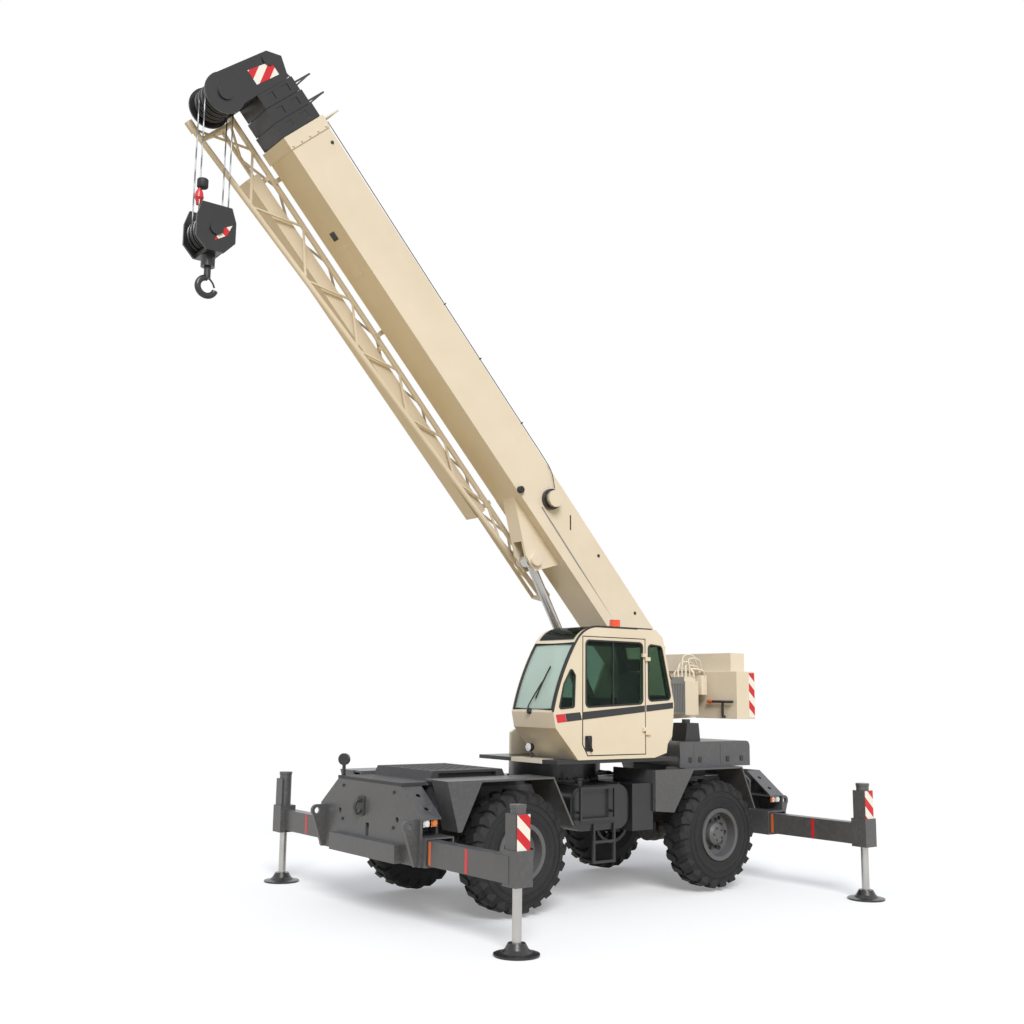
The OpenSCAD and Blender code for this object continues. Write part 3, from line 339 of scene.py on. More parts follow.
# each node's finish
finishGroups = [
    (boomPaint, "boom_base cable_reel jib turntable counterweight cooler cab door lift_barrel"),
    (carrierPaint, "chassis front_box rear_box fenders hood"),
    (gripCoat, "deck"),
    (blackPaint, "tank road_mirror boom_mid_1 boom_mid_2 boom_tip hook_block hook slew_bearing"),
    (machinery, "engine front_axle rear_axle winch head_sheaves"),
    (chrome, "lift_rod"),
    (pane, "cab_glass door_glass"),
    (amberLens, "lamps"),
    (beaconLens, "beacon"),
    (trim, "cab_interior"),
    (wire, "rope_falls"),
]
finishes = {name: paint for paint, names in finishGroups for name in names.split()}
cornerFinishes = {"beam_": carrierPaint, "jack_": chrome, "knuckle_": machinery, "rim_": rimPaint,
                  "tyre_": rubber}
for corner in corners:
    finishes.update({kind + corner: paint for kind, paint in cornerFinishes.items()})


def roundEdges(obj, width, angle=30):
    # loose triangles are welded, flat faces merged, then hard edges get a small radius
    weld = obj.modifiers.new("weld", "WELD")
    weld.merge_threshold = 0.00002
    flat = obj.modifiers.new("flat", "DECIMATE")
    flat.decimate_type = "DISSOLVE"
    flat.angle_limit = math.radians(0.5)
    bevel = obj.modifiers.new("edge", "BEVEL")
    bevel.width = width
    bevel.segments = 2
    bevel.limit_method = "ANGLE"
    bevel.angle_limit = math.radians(angle)
    bevel.harden_normals = True
    bevel.use_clamp_overlap = True


for name, obj in nodes.items():  # the frame's own colours give way
    obj.data.materials.clear()
    obj.data.materials.append(finishes[name])


def paintPart(name, material, chosen):
    # faces whose middle passes the test take a second material
    mesh = nodes[name].data
    mesh.materials.append(material)
    middles = np.empty(len(mesh.polygons) * 3)
    mesh.polygons.foreach_get("center", middles)
    slots = np.empty(len(mesh.polygons), dtype=np.int32)
    mesh.polygons.foreach_get("material_index", slots)
    slots[chosen(middles.reshape(-1, 3))] = len(mesh.materials) - 1
    mesh.polygons.foreach_set("material_index", slots)


def inwardFaces(name):
    # true where a face's normal runs toward the middle of the node's box
    mesh = nodes[name].data
    middles = np.empty(len(mesh.polygons) * 3)
    normals = np.empty(len(mesh.polygons) * 3)
    mesh.polygons.foreach_get("center", middles)
    mesh.polygons.foreach_get("normal", normals)
    return ((middleOf(name) - middles.reshape(-1, 3)) * normals.reshape(-1, 3)).sum(1) > 0


# faces of nodes with a colour of their own
painted = {"float": 0.132, "reelFace": 0.03, "beaconFoot": 0.041, "lens": 0.03, "disc": 1.842, "stack": 2.035,
           "fins": 0.025, "screenX": 0.84, "screenY": 1.295, "cabSide": 1.30, "cabWall": 0.01,
           "doorSkin": 0.002, "frontLamp": 2.985, "rearLamp": 3.045, "lampShift": 0.06}
for corner in corners:
    floatTop = boxOf("jack_" + corner)[0][2] + painted["float"]
    paintPart("jack_" + corner, blackPaint, lambda c: c[:, 2] < floatTop)
paintPart("cable_reel", blackPaint, lambda c: c[:, 1] < boxOf("cable_reel")[1][1] - painted["reelFace"])
paintPart("beacon", blackPaint, lambda c: c[:, 2] < boxOf("beacon")[0][2] + painted["beaconFoot"])
paintPart("turntable", blackPaint, lambda c: c[:, 2] < painted["disc"] + tyreLow)
lensStart = boxOf("lamps")[1][1] - painted["lens"]
paintPart("lamps", blackPaint, lambda c: np.abs(c[:, 1]) < lensStart)


def outerLens(c):
    # lens faces of the lamp nearer the machine's front or back end
    ahead = c[:, 0] - wheelMid
    shift = painted["lampShift"]
    atEnd = np.where(ahead > 0, np.abs(ahead - shift) > painted["frontLamp"],
                     np.abs(ahead + shift) > painted["rearLamp"])
    return (np.abs(c[:, 1]) > lensStart) & atEnd


paintPart("lamps", whiteLens, outerLens)
paintPart("cab", trim, lambda c: inwardFaces("cab") & (c[:, 1] < painted["cabSide"])
          & (c[:, 1] > boxOf("cab")[0][1] + painted["cabWall"]))
paintPart("door", trim, lambda c: c[:, 1] < boxOf("door")[0][1] + painted["doorSkin"])
paintPart("hood", blackPaint, lambda c: c[:, 2] > painted["stack"] + tyreLow)
paintPart("cooler", finGrey, lambda c: c[:, 0] > boxOf("cooler")[1][0] - painted["fins"])
# the windscreen's faces take the pane with the painted reflection
paintPart("cab_glass", screenReflectionGlass, lambda c: (c[:, 0] > painted["screenX"] + wheelMid)
          & (c[:, 1] < painted["screenY"]))
for name in ["boom_base", "cab", "door", "counterweight", "turntable", "hood", "fenders", "deck", "front_box",
             "rear_box", "boom_mid_1", "boom_mid_2", "boom_tip"]:
    roundEdges(nodes[name], 0.006)
print("node finishes set")


# builders: every piece is a set of points, quads and end caps made with numpy
def addPiece(name, parts, material, body, smooth=True):
    # joins (points, quads, caps) parts into one mesh that rides a body
    starts = np.cumsum([0] + [len(part[0]) for part in parts])
    faces = []
    for (_, quads, caps), start in zip(parts, starts):
        faces += (quads + start).tolist()
        faces += [(cap + start).tolist() for cap in caps]
    mesh = bpy.data.meshes.new(name)
    mesh.from_pydata(np.concatenate([part[0] for part in parts]).tolist(), [], faces)
    mesh.materials.append(material)
    mesh.polygons.foreach_set("use_smooth", [smooth] * len(mesh.polygons))
    obj = bpy.data.objects.new(name, mesh)
    bpy.context.scene.collection.objects.link(obj)
    if smooth:
        mesh.set_sharp_from_angle(angle=math.radians(35))
    if body:
        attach(obj, body)
    return obj


def gridFaces(rows, cols, wrapRows=False, wrapCols=False):
    # quads between neighbouring rows and columns of a grid of points
    r = np.arange(rows if wrapRows else rows - 1)
    c = np.arange(cols if wrapCols else cols - 1)
    r0, c0 = np.meshgrid(r, c, indexing="ij")
    r1, c1 = (r0 + 1) % rows, (c0 + 1) % cols
    quads = np.stack([r0 * cols + c0, r1 * cols + c0, r1 * cols + c1, r0 * cols + c1], -1)
    return quads.reshape(-1, 4)


def endCaps(rows, cols):
    # the first and the last row of a grid as one face each
    return [np.arange(cols)[::-1], (rows - 1) * cols + np.arange(cols)]


def turnsOf(count):
    # angles that share out a full turn
    return np.linspace(0, 2 * np.pi, count, endpoint=False)


def circle(centre, first, second, radius, turns):
    # centre plus radius times the cosine along one axis and the sine along another
    ring = np.multiply.outer(np.cos(turns), first) + np.multiply.outer(np.sin(turns), second)
    return centre + radius * ring


def tube(path, radius, sides=10, closed=False):
    # circle carried along a path: its plane is square to the path's mean direction at each point
    path = np.array(path, dtype=float)
    ahead = np.roll(path, -1, 0) - path
    behind = path - np.roll(path, 1, 0)
    if not closed:
        ahead[-1] = behind[-1]
        behind[0] = ahead[0]
    ahead = ahead / np.linalg.norm(ahead, axis=1, keepdims=True)
    behind = behind / np.linalg.norm(behind, axis=1, keepdims=True)
    run = ahead + behind
    run = run / np.linalg.norm(run, axis=1, keepdims=True)
    helper = np.eye(3)[int(np.argmin(np.abs(run).sum(0)))]
    first = np.cross(run, helper)
    first = first / np.linalg.norm(first, axis=1, keepdims=True)
    second = np.cross(run, first)
    turns = turnsOf(sides)
    ring = np.cos(turns)[None, :, None] * first[:, None] + np.sin(turns)[None, :, None] * second[:, None]
    points = (path[:, None] + radius * ring).reshape(-1, 3)
    return points, gridFaces(len(path), sides, closed, True), [] if closed else endCaps(len(path), sides)


def smoothPath(points, steps=8):
    # Catmull-Rom curve through the points
    points = np.array(points, dtype=float)
    ends = np.concatenate([[2 * points[0] - points[1]], points, [2 * points[-1] - points[-2]]])
    t = np.linspace(0, 1, steps, endpoint=False)[:, None]
    spans = []
    for a, b, c, d in zip(ends[:-3], ends[1:-2], ends[2:-1], ends[3:]):
        square = (2 * a - 5 * b + 4 * c - d) * t ** 2
        cube = (3 * b - a - 3 * c + d) * t ** 3
        spans.append(0.5 * (2 * b + (c - a) * t + square + cube))
    return np.concatenate(spans + [points[-1:]])


def roundLoop(corners2, radius, steps=5):
    # outline in two coordinates with every corner turned into an arc
    pts = np.array(corners2, dtype=float)
    loop = []
    for a, b, c in zip(np.roll(pts, 1, 0), pts, np.roll(pts, -1, 0)):
        u = (a - b) / np.linalg.norm(a - b)
        v = (c - b) / np.linalg.norm(c - b)
        half = math.acos(np.clip(u @ v, -1, 1)) / 2
        middle = (u + v) / np.linalg.norm(u + v)
        centre = b + middle * radius / math.sin(half)
        side = math.copysign(math.pi / 2 - half, u[0] * v[1] - u[1] * v[0])
        angle = math.atan2(-middle[1], -middle[0]) + side * np.linspace(1, -1, steps)
        loop.append(centre + radius * np.stack([np.cos(angle), np.sin(angle)], 1))
    return np.concatenate(loop)


def plate(outline, place, thick, edge=0.0015):
    # outline raised by its thickness, its rim drawn in by a small chamfer; place maps (a, b, depth) to points
    outline = np.array(outline, dtype=float)
    inward = outline.mean(0) - outline
    inset = outline + inward / np.linalg.norm(inward, axis=1, keepdims=True) * edge
    levels = [(outline, 0.0), (outline, thick - edge), (inset, thick)]
    points = np.concatenate([place(ring[:, 0], ring[:, 1], depth) for ring, depth in levels])
    return points, gridFaces(3, len(outline), False, True), endCaps(3, len(outline))


def rectangle(a0, b0, a1, b1):
    # four corners of an upright rectangle in two coordinates
    return [(a0, b0), (a1, b0), (a1, b1), (a0, b1)]


def roundBox(lo, hi, edge, place):
    # box as a plate with rounded corners in plan, drawn in at the top edge
    plan = roundLoop(rectangle(lo[0], lo[1], hi[0], hi[1]), edge)
    return plate(plan, lambda a, b, d: place(a, b, lo[2] + d), hi[2] - lo[2], 0.012)


def turned(profile, centre, axis, sides=20):
    # (radius, height) profile turned about an axis
    axis = np.array(axis, dtype=float)
    axis = axis / np.linalg.norm(axis)
    helper = np.eye(3)[int(np.argmin(np.abs(axis)))]
    first = np.cross(axis, helper)
    first = first / np.linalg.norm(first)
    second = np.cross(axis, first)
    turns = turnsOf(sides)
    ring = np.cos(turns)[:, None] * first + np.sin(turns)[:, None] * second
    profile = np.array(profile, dtype=float)
    points = np.array(centre) + profile[:, 0, None, None] * ring + profile[:, 1, None, None] * axis
    return points.reshape(-1, 3), gridFaces(len(profile), sides, False, True), endCaps(len(profile), sides)


def bolts(places, axis, radius, height):
    # hexagon heads with a chamfered top, on washers
    washer = radius * 1.35
    profile = [(washer, 0), (washer, height * 0.2), (radius, height * 0.22), (radius, height * 0.85),
               (radius * 0.8, height)]
    return [turned(profile, place, axis, 6) for place in places]


def pillow(centre, half, hardness, lean=0.0):
    # superellipsoid: powers of the sines and cosines of two angles, leaned back about the cross axis
    v, u = np.meshgrid(np.linspace(-np.pi / 2, np.pi / 2, 25), turnsOf(48), indexing="ij")

    def power(w):
        # signed power
        return np.sign(w) * np.abs(w) ** hardness

    x = half[0] * power(np.cos(v)) * power(np.cos(u))
    y = half[1] * power(np.cos(v)) * power(np.sin(u))
    z = half[2] * power(np.sin(v))
    c, s = math.cos(lean), math.sin(lean)
    points = np.array(centre) + np.stack([x * c - z * s, y, x * s + z * c], -1)
    return points.reshape(-1, 3), gridFaces(*v.shape, False, True), []


# cab: stripe, rubber frames, seals, wiper, handle, roof strips and lamp
cabSide = {"y": 1.330, "edgeY": 1.322, "stripe": 0.004, "frame": 0.013, "seal": 0.010, "roof": 3.584}


def onSide(x, z, depth):
    # points on the cab's left side, depth metres out of it
    return at(x, cabSide["y"] + depth, z)


def stripe(x0, x1, lean=0.0):
    # parallelogram between two places along the cab's rising stripe, its upper edge shifted forward by lean
    low = [2.355 + (0.8 - x) * 0.0906 for x in (x0, x1)]
    top = [2.455 + (0.8 - x) * 0.079 for x in (x0, x1)]
    outline = [(x0, low[0]), (x1, low[1]), (x1 + lean, top[1]), (x0 + lean, top[0])]
    return plate(outline, onSide, cabSide["stripe"])


belts = {
    "Front": (0.80, 1.055, 0.03, blackPaint, "upper", "dark_paint"),
    "Red": (1.06, 1.215, 0.03, redPaint, "upper", "boom_paint"),
    "Rear": (-0.88, -0.365, 0.0, blackPaint, "upper", "dark_paint"),
    "Door": (-0.335, 0.78, 0.0, blackPaint, "cab_door", "dark_paint"),
}
for name, (x0, x1, lean, paint, body, slot) in belts.items():
    addPiece("beltStripe" + name, [stripe(x0, x1, lean)], paint, body, False)

sideWindows = {
    "front": ([(0.935, 2.52), (1.185, 2.50), (1.11, 2.81), (0.985, 3.02), (0.92, 2.93)], 0.025, "upper"),
    "rear": ([(-0.41, 2.605), (-0.84, 2.63), (-0.66, 3.355), (-0.41, 3.375)], 0.055, "upper"),
    "door": ([(0.73, 2.52), (0.73, 3.395), (-0.295, 3.39), (-0.295, 2.57)], 0.055, "cab_door"),
}
for name, (outline, radius, body) in sideWindows.items():
    loop = roundLoop(outline, radius)
    path = onSide(loop[:, 0], loop[:, 1], 0.0)
    addPiece("windowRubber." + name, [tube(path, cabSide["frame"], 8, True)], hoseRubber, body)
slideBar = [onSide(0.24, 2.545, -0.008), onSide(0.24, 3.39, -0.008)]
addPiece("doorSlidingBar", [tube(slideBar, 0.012, 8)], hoseRubber, "cab_door")

screen = {"x": 1.285, "z": 2.45, "radius": 2.9, "start": 13, "low": 13.8, "high": 32.4,
          "left": 1.29, "right": 0.49, "rubber": 0.016}


def onScreen(degrees, y, out=0.0):
    # points on the windscreen's sweep at angles of its arc
    a0, a = math.radians(screen["start"]), np.radians(degrees)
    r = screen["radius"]
    return at(screen["x"] + (r + out) * np.cos(a) - r * math.cos(a0), y,
              screen["z"] + (r + out) * np.sin(a) - r * math.sin(a0))


sweep = np.linspace(screen["low"], screen["high"], 12)
screenLoop = np.concatenate([onScreen(sweep, screen["left"]), onScreen(sweep[::-1], screen["right"])])

brow = {"radius": 0.4456, "x": 0.5178, "z": 3.1344, "low": 37, "back": 0.12, "glass": 0.009, "rubber": 0.004,
        "glassRoof": 3.589}


def onBrow(degrees, out):
    # lengths and heights on the brow's arc, out metres from it
    a = np.radians(degrees)
    return brow["x"] + (brow["radius"] + out) * np.cos(a), brow["z"] + (brow["radius"] + out) * np.sin(a)


# smoked pane over the brow: arcs of the brow from the windscreen's head to the flat roof
browX, browZ = onBrow(np.linspace(brow["low"], 90, 14), brow["glass"])
browX = np.append(browX, [0.3, brow["back"]])
browZ = np.append(browZ, [brow["glassRoof"]] * 2)
browRows = at(browX[:, None], np.linspace(0.53, 1.25, 8), browZ[:, None]).reshape(-1, 3)
addPiece("browGlass", [(browRows, gridFaces(len(browX), 8), [])], smokedGlass, "upper")
addPiece("windscreenRubber", [tube(screenLoop, screen["rubber"], 8, True)], hoseRubber, "upper")
edgeX, edgeZ = onBrow(np.linspace(40, 90, 10), brow["rubber"])
edgeLine = np.concatenate([onScreen(np.linspace(13.2, 32.6, 12), cabSide["edgeY"], 0.003),
                           at(edgeX, cabSide["edgeY"], edgeZ),
                           at(np.array([0.2, -0.2]), cabSide["edgeY"], cabSide["roof"])])
addPiece("cabEdgeRubber", [tube(edgeLine, 0.015, 8)], hoseRubber, "upper")
seal = np.array([(0.698, 1.893), (0.787, 2.041), (0.787, 3.447), (-0.347, 3.447), (-0.347, 1.893)])
sealLoop = onSide(seal[:, 0], seal[:, 1], -0.004)
addPiece("doorSeal", [tube(sealLoop, cabSide["seal"], 8, True)], hoseRubber, "upper")
sill = [plate(rectangle(0.32, 1.787, 0.98, 1.843), lambda a, b, d: at(1.18 + d, a, b), 0.005),
        plate(rectangle(0.98, 0.32, 1.184, 0.98), lambda a, b, d: at(a, b, 1.84 + d), 0.004)]
addPiece("sillStrip", sill, boomPaint, "upper", False)
wiperArm = smoothPath([onScreen(13.2, 0.84, 0.02), onScreen(14.5, 0.85, 0.045), onScreen(19, 0.93, 0.02),
                       onScreen(21, 0.97, 0.014)])
bladeSweep = np.linspace(16.5, 25.5, 10)
blade = onScreen(bladeSweep, 0.97 + (bladeSweep - 21) * 0.012, 0.006)
wiperHub = [(0.0, 0), (0.04, 0), (0.04, 0.03), (0.025, 0.045)]
wiper = [tube(wiperArm, 0.009, 8), tube(blade, 0.011, 6),
         turned(wiperHub, onScreen(13.2, 0.84, -0.01), (1, 0, 0.2))]
addPiece("wiper", wiper, hoseRubber, "upper")
handle = smoothPath([onSide(0.72, 2.13, 0.0), onSide(0.72, 2.13, 0.045), onSide(0.70, 2.03, 0.052),
                     onSide(0.66, 1.96, 0.045), onSide(0.66, 1.96, 0.0)])
grip = plate(roundLoop(rectangle(0.63, 1.95, 0.745, 2.15), 0.02), onSide, 0.012, 0.003)
addPiece("doorHandle", [tube(handle, 0.014, 10), grip], hoseRubber, "cab_door")
for side, y in (("left", 1.30), ("right", 0.48)):
    strip = smoothPath([at(-0.5, y, 3.586), at(0.2, y, 3.586), at(0.5, y, 3.586)])
    addPiece("roofStrip." + side, [tube(strip, 0.014, 8)], hoseRubber, "upper")
cabLamp = {"place": at(1.09, 0.61, 1.98), "axis": (1, 0, 0.05)}
lampShell = [(0.0, -0.05), (0.035, -0.05), (0.055, -0.02), (0.062, 0.02), (0.062, 0.03)]
lampLens = [(0.056, 0.028), (0.054, 0.034), (0.03, 0.04), (0.0, 0.042)]
lampPost = tube([at(1.06, 0.61, 1.84), at(1.06, 0.61, 1.92)], 0.014, 8)
addPiece("cabLampShell", [turned(lampShell, cabLamp["place"], cabLamp["axis"]), lampPost], blackPaint,
         "upper")
addPiece("cabLampLens", [turned(lampLens, cabLamp["place"], cabLamp["axis"])], whiteLens, "upper")
print("cab dressed")

# seat, console and levers stand for the plain blocks in the cab
seat = {"x": -0.22, "y": 0.89, "z": 2.30, "floor": 1.886, "lean": 0.16}
cushionForm = pillow(at(seat["x"], seat["y"], seat["z"]), (0.26, 0.24, 0.075), 0.45)
cushion = addPiece("seatCushion", [cushionForm], seatCloth, "upper")
backForm = pillow(at(seat["x"] - 0.27, seat["y"], seat["z"] + 0.38), (0.075, 0.23, 0.33), 0.5, seat["lean"])
back = addPiece("seatBack", [backForm], seatCloth, "upper")
restForm = pillow(at(seat["x"] - 0.34, seat["y"], seat["z"] + 0.80), (0.05, 0.14, 0.085), 0.55, seat["lean"])
rest = addPiece("headRest", [restForm], seatCloth, "upper")
pedestal = [(0.0, 0), (0.2, 0), (0.2, 0.03), (0.13, 0.06), (0.11, 0.3), (0.17, 0.34), (0.0, 0.34)]
baseForm = turned(pedestal, at(seat["x"], seat["y"], seat["floor"]), (0, 0, 1), 28)
base = addPiece("seatPedestal", [baseForm], trim, "upper")
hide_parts("cab_interior")
arms = []
levers = []
knob = [(0.0, -0.04), (0.02, -0.035), (0.026, 0.0), (0.02, 0.035), (0.0, 0.04)]
for y in (0.60, 1.17):
    arms.append(roundBox((-0.36, y - 0.05, 2.40), (0.12, y + 0.05, 2.46), 0.04, at))
    arms.append(roundBox((-0.30, y - 0.04, seat["floor"]), (-0.1, y + 0.04, 2.41), 0.03, at))
    levers.append(tube(smoothPath([at(0.06, y, 2.45), at(0.07, y, 2.55), at(0.10, y, 2.62)]), 0.009, 8))
    levers.append(turned(knob, at(0.105, y, 2.65), (0.2, 0, 1), 16))
addPiece("armRests", arms, trim, "upper")
addPiece("controlLevers", levers, hoseRubber, "upper")
console = [roundBox((0.60, 0.70, seat["floor"]), (0.78, 1.12, 2.30), 0.05, at),
           roundBox((0.52, 0.66, 2.30), (0.80, 1.16, 2.36), 0.05, at)]
addPiece("frontConsole", console, trim, "upper")
wheel = {"place": at(0.46, 0.90, 2.52), "up": np.array([-0.5, 0, 0.866]), "radius": 0.19, "spoke": 0.185}
rim = circle(wheel["place"], wheel["up"], leftward, wheel["radius"], turnsOf(36))
wheelParts = [tube(rim, 0.014, 8, True),
              tube([at(0.60, 0.90, 2.34), wheel["place"] + np.array([0.03, 0, -0.02])], 0.025, 10)]
for end in circle(wheel["place"], wheel["up"], leftward, wheel["spoke"], np.array([0.4, 2.5, 4.7])):
    wheelParts.append(tube([wheel["place"], end], 0.01, 8))
addPiece("steeringWheel", wheelParts, trim, "upper")
print("cab furnished")

# warning sheets on the jacks, the counterweight and the boom's head, and bars on the beams
board = {"half": 0.088, "high": 0.40, "low": 1.01, "out": 0.1, "beamFace": 0.084, "beamShift": 0.04}
beamBars = {"beamMark.": (rectangle(2.05, 0.70, 2.10, 0.965), redPaint),
            "beamStop.": (rectangle(1.32, 0.70, 1.36, 0.965), orangePaint)}
for corner in corners:
    out = 1 if corner.endswith("l") else -1
    jackX, jackY = middleOf("jack_" + corner)[:2]
    boardY, boardZ = jackY + out * board["out"], board["low"] + tyreLow
    sheet = plate(rectangle(-board["half"], 0.0, board["half"], board["high"]),
                  lambda a, b, d: spot(jackX + a, boardY + out * d, boardZ + b), 0.004)
    addPiece("chevronOut." + corner, [sheet], sideChevrons, "outrigger_" + corner, False)
    face = jackX + out * board["beamShift"] + board["beamFace"]
    for name, (outline, paint) in beamBars.items():
        bar = plate(outline, lambda a, b, d: spot(face + d, out * a, b + tyreLow), 0.003)
        addPiece(name + corner, [bar], paint, "outrigger_" + corner, False)
for side, out in sides.items():
    sheet = plate(rectangle(-2.74, 2.37, -2.62, 3.03), lambda a, b, d: at(a, out * (1.2 + d), b), 0.003)
    addPiece("weightChevron." + side, [sheet], sideChevrons, "upper", False)
    sheet = plate([(9.70, 0.02), (9.90, 0.02), (9.86, 0.40), (9.68, 0.40)],
                  lambda a, b, d: onBoom(a, out * (0.262 + d), b), 0.003)
    addPiece("headChevron." + side, [sheet], headChevrons, "boom_head", False)
print("warning sheets placed")

# hoist rope: wraps on the drum, the run over the boom and round the head
rope = {"radius": 0.0095, "wrap": 0.016, "collar": 9.0, "step": 0.14, "lift": 0.74}
drum = {"x": -2.21, "z": 2.66, "radius": 0.16, "half": 0.26, "turns": 13}
wraps = np.linspace(0, drum["turns"] * 2 * np.pi, 420)
coil = at(drum["x"] + drum["radius"] * np.cos(wraps), np.linspace(-drum["half"], drum["half"], 420),
          drum["z"] + drum["radius"] * np.sin(wraps))
addPiece("drumRope", [tube(coil, rope["wrap"], 6)], wire, "upper")
lead = smoothPath([at(drum["x"], 0.05, drum["z"] + drum["radius"] + 0.01), onBoom(-0.4, 0.03, 0.60),
                   onBoom(0.0, 0.02, 0.645), onBoom(0.3, 0.0, 0.65)])
leadRope = addPiece("ropeLead", [tube(lead, rope["radius"], 8)], wire, None)
tuple(at(drum["x"] + 0.1, 0.05, drum["z"] + 0.2))
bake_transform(leadRope)
overBoom = smoothPath([onBoom(0.3, 0, 0.65), onBoom(4.5, 0, 0.70), onBoom(rope["collar"], 0, rope["lift"])])
addPiece("ropeOnBoom", [tube(overBoom, rope["radius"], 8)], wire, "boom")
headRope = smoothPath([onBoom(9.42, 0, rope["lift"]), onBoom(9.7, 0.02, 0.68), onBoom(9.95, 0.046, 0.44),
                       onBoom(10.01, 0.046, 0.1), onBoom(10.02, 0.046, -0.3)])
addPiece("ropeOverHead", [tube(headRope, rope["radius"], 8)], wire, "boom_head")
# short runs between the collars, riding no body
for k in range(3):
    first = rope["collar"] + rope["step"] * k
    run = onBoom(np.linspace(first, first + rope["step"], 15), 0, rope["lift"])
    between = addPiece("ropeBetween." + str(k + 1), [tube(run, rope["radius"], 8)], wire, None)
    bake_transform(between)
# four falls from the head's sheaves to the block's, riding no body
fallLo, fallHi = boxOf("rope_falls")
falls = []
for k, y in enumerate(np.linspace(fallLo[1] + rope["radius"], fallHi[1] - rope["radius"], 4)):
    x = fallLo[0] + rope["radius"] if k % 2 == 0 else fallHi[0] - rope["radius"]
    falls.append(tube(spot(x, y, np.linspace(fallHi[2], fallLo[2], 41)), rope["radius"], 8))
fallRopes = addPiece("fallRopes", falls, wire, None)
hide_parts("rope_falls")
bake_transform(fallRopes)

# hook block: red wedge socket, hoist-limit weight, the coloured mark on its cheek and the hook's latch
blockLo, blockHi = boxOf("hook_block")
blockX = middleOf("hook_block")[0]
socketAt = np.array([blockX + 0.20, 0.10, blockHi[2] - 0.02])
socket = [(0.0, 0), (0.028, 0.0), (0.034, 0.04), (0.058, 0.09), (0.046, 0.15), (0.02, 0.205), (0.0, 0.21)]
addPiece("wedgeSocket", [turned(socket, socketAt, (0, 0.12, 1), 14)], redPaint, "hook_load")
weight = [(0.0, 0), (0.06, 0), (0.068, 0.012), (0.068, 0.098), (0.06, 0.11), (0.0, 0.11)]
weightAt = socketAt + np.array([-0.03, 0.03, 0.215])
addPiece("limitWeight", [turned(weight, weightAt, (0, 0, 1), 24)], hoseRubber, "hook_load")
mark = plate([(-0.02, -0.46), (0.14, -0.36), (0.2, -0.22), (0.05, -0.30)],
             lambda a, b, d: spot(blockX - a, 0.216 + d, blockHi[2] + b), 0.003)
addPiece("blockMark", [mark], sideChevrons, "hook_load", False)
latch = smoothPath(spot(blockX - np.array([0.03, 0.075, 0.10]), 0,
                        blockLo[2] - np.array([0.14, 0.19, 0.245])))
addPiece("hookLatch", [tube(latch, 0.012, 8)], blackPaint, "hook_load")
print("rigging made")

# running gear: wheel nuts, hub bolts and sidewall ribs
gear = {"nuts": (0.2, 0.075), "hub": (0.085, 0.178), "ribs": ((0.52, 0.2265), (0.60, 0.2215), (0.44, 0.214))}
for corner in corners:
    centre = middleOf("rim_" + corner)
    out = 1 if corner.endswith("l") else -1

    def onWheel(radius, depth, turns):
        # circle about the wheel's axle, depth metres out of its middle
        return circle(centre + out * depth * leftward, np.eye(3)[0], np.eye(3)[2], radius, turns)

    nuts = bolts(onWheel(*gear["nuts"], turnsOf(10)), (0, out, 0), 0.019, 0.034)
    addPiece("wheelNuts." + corner, nuts, machinery, "wheel_" + corner, False)
    hub = bolts(onWheel(*gear["hub"], turnsOf(10)[::2]), (0, out, 0), 0.011, 0.016)
    addPiece("hubBolts." + corner, hub, machinery, "wheel_" + corner, False)
    ribs = [tube(onWheel(radius, depth, turnsOf(72)), 0.006, 6, True) for radius, depth in gear["ribs"]]
    addPiece("sidewallRibs." + corner, ribs, rubber, "wheel_" + corner)
print("wheels dressed")

# boom: bolt heads, stop, slot and underside hole drawn as black plates of painted shade, a grey strip of
# painted shadow along the side's ledge, collar bolts, underside plates, reel cable and its guides
boomY = 0.292


def onBoomSide(a, b, d):
    # points on the base section's left side, d metres out of it
    return onBoom(a, boomY + d, b)


def underBoom(a, b, d):
    # points on the base section's underside, d metres out of it
    return onBoom(a, b, -0.1 - d)


dots = onBoom(np.array([1.818, 0.731, 8.65]), boomY, np.array([0.473, 0.460, 0.5]))
addPiece("boomBolts", bolts(dots, (0, 1, 0), 0.02, 0.016), blackPaint, "boom", False)
stop = [(0.0, 0), (0.05, 0), (0.05, 0.05), (0.04, 0.06), (0.0, 0.06)]
addPiece("boomStop", [turned(stop, onBoom(3.42, boomY, -0.06), (0, 1, 0), 24)], hoseRubber, "boom")
# black plate in the slot: painted shade inside the opening
slotShade = plate([(2.42, 0.307), (2.44, 0.295), (2.60, 0.44), (2.58, 0.452)], onBoomSide, 0.004)
addPiece("boomSlot", [slotShade], blackPaint, "boom", False)
# thin grey strip, raised 6 mm, along the doubler's edge: its grey is painted shadow under the ledge
ledgeShadow = plate([(0.5, 0.030), (3.0, 0.085), (3.0, 0.105), (0.5, 0.048)], onBoomSide, 0.006, 0.002)
addPiece("boomSideSeam", [ledgeShadow], finGrey, "boom", False)
for side, out in sides.items():
    heads = bolts(onBoom(8.86, out * 0.306, np.linspace(-0.06, 0.55, 5)), (0, out, 0), 0.016, 0.014)
    addPiece("collarBolts." + side, heads, boomPaint, "boom", False)
# black plate over the hole in the underside: painted shade inside the boom
addPiece("undersideHole", [plate(rectangle(7.60, -0.06, 7.72, 0.06), underBoom, 0.003)], blackPaint, "boom",
         False)
lid = plate(roundLoop(rectangle(7.05, -0.09, 7.5, 0.09), 0.03), underBoom, 0.008, 0.003)
addPiece("undersidePlate", [lid], boomPaint, "boom", False)
reelCable = smoothPath([onBoom(3.08, 0.36, 0.42), onBoom(3.3, 0.33, 0.56), onBoom(3.55, 0.27, 0.625),
                        onBoom(4.1, 0.25, 0.64), onBoom(6.5, 0.25, 0.64), onBoom(8.9, 0.25, 0.655)])
addPiece("reelCable", [tube(reelCable, 0.006, 6)], hoseRubber, "boom")
guides = []
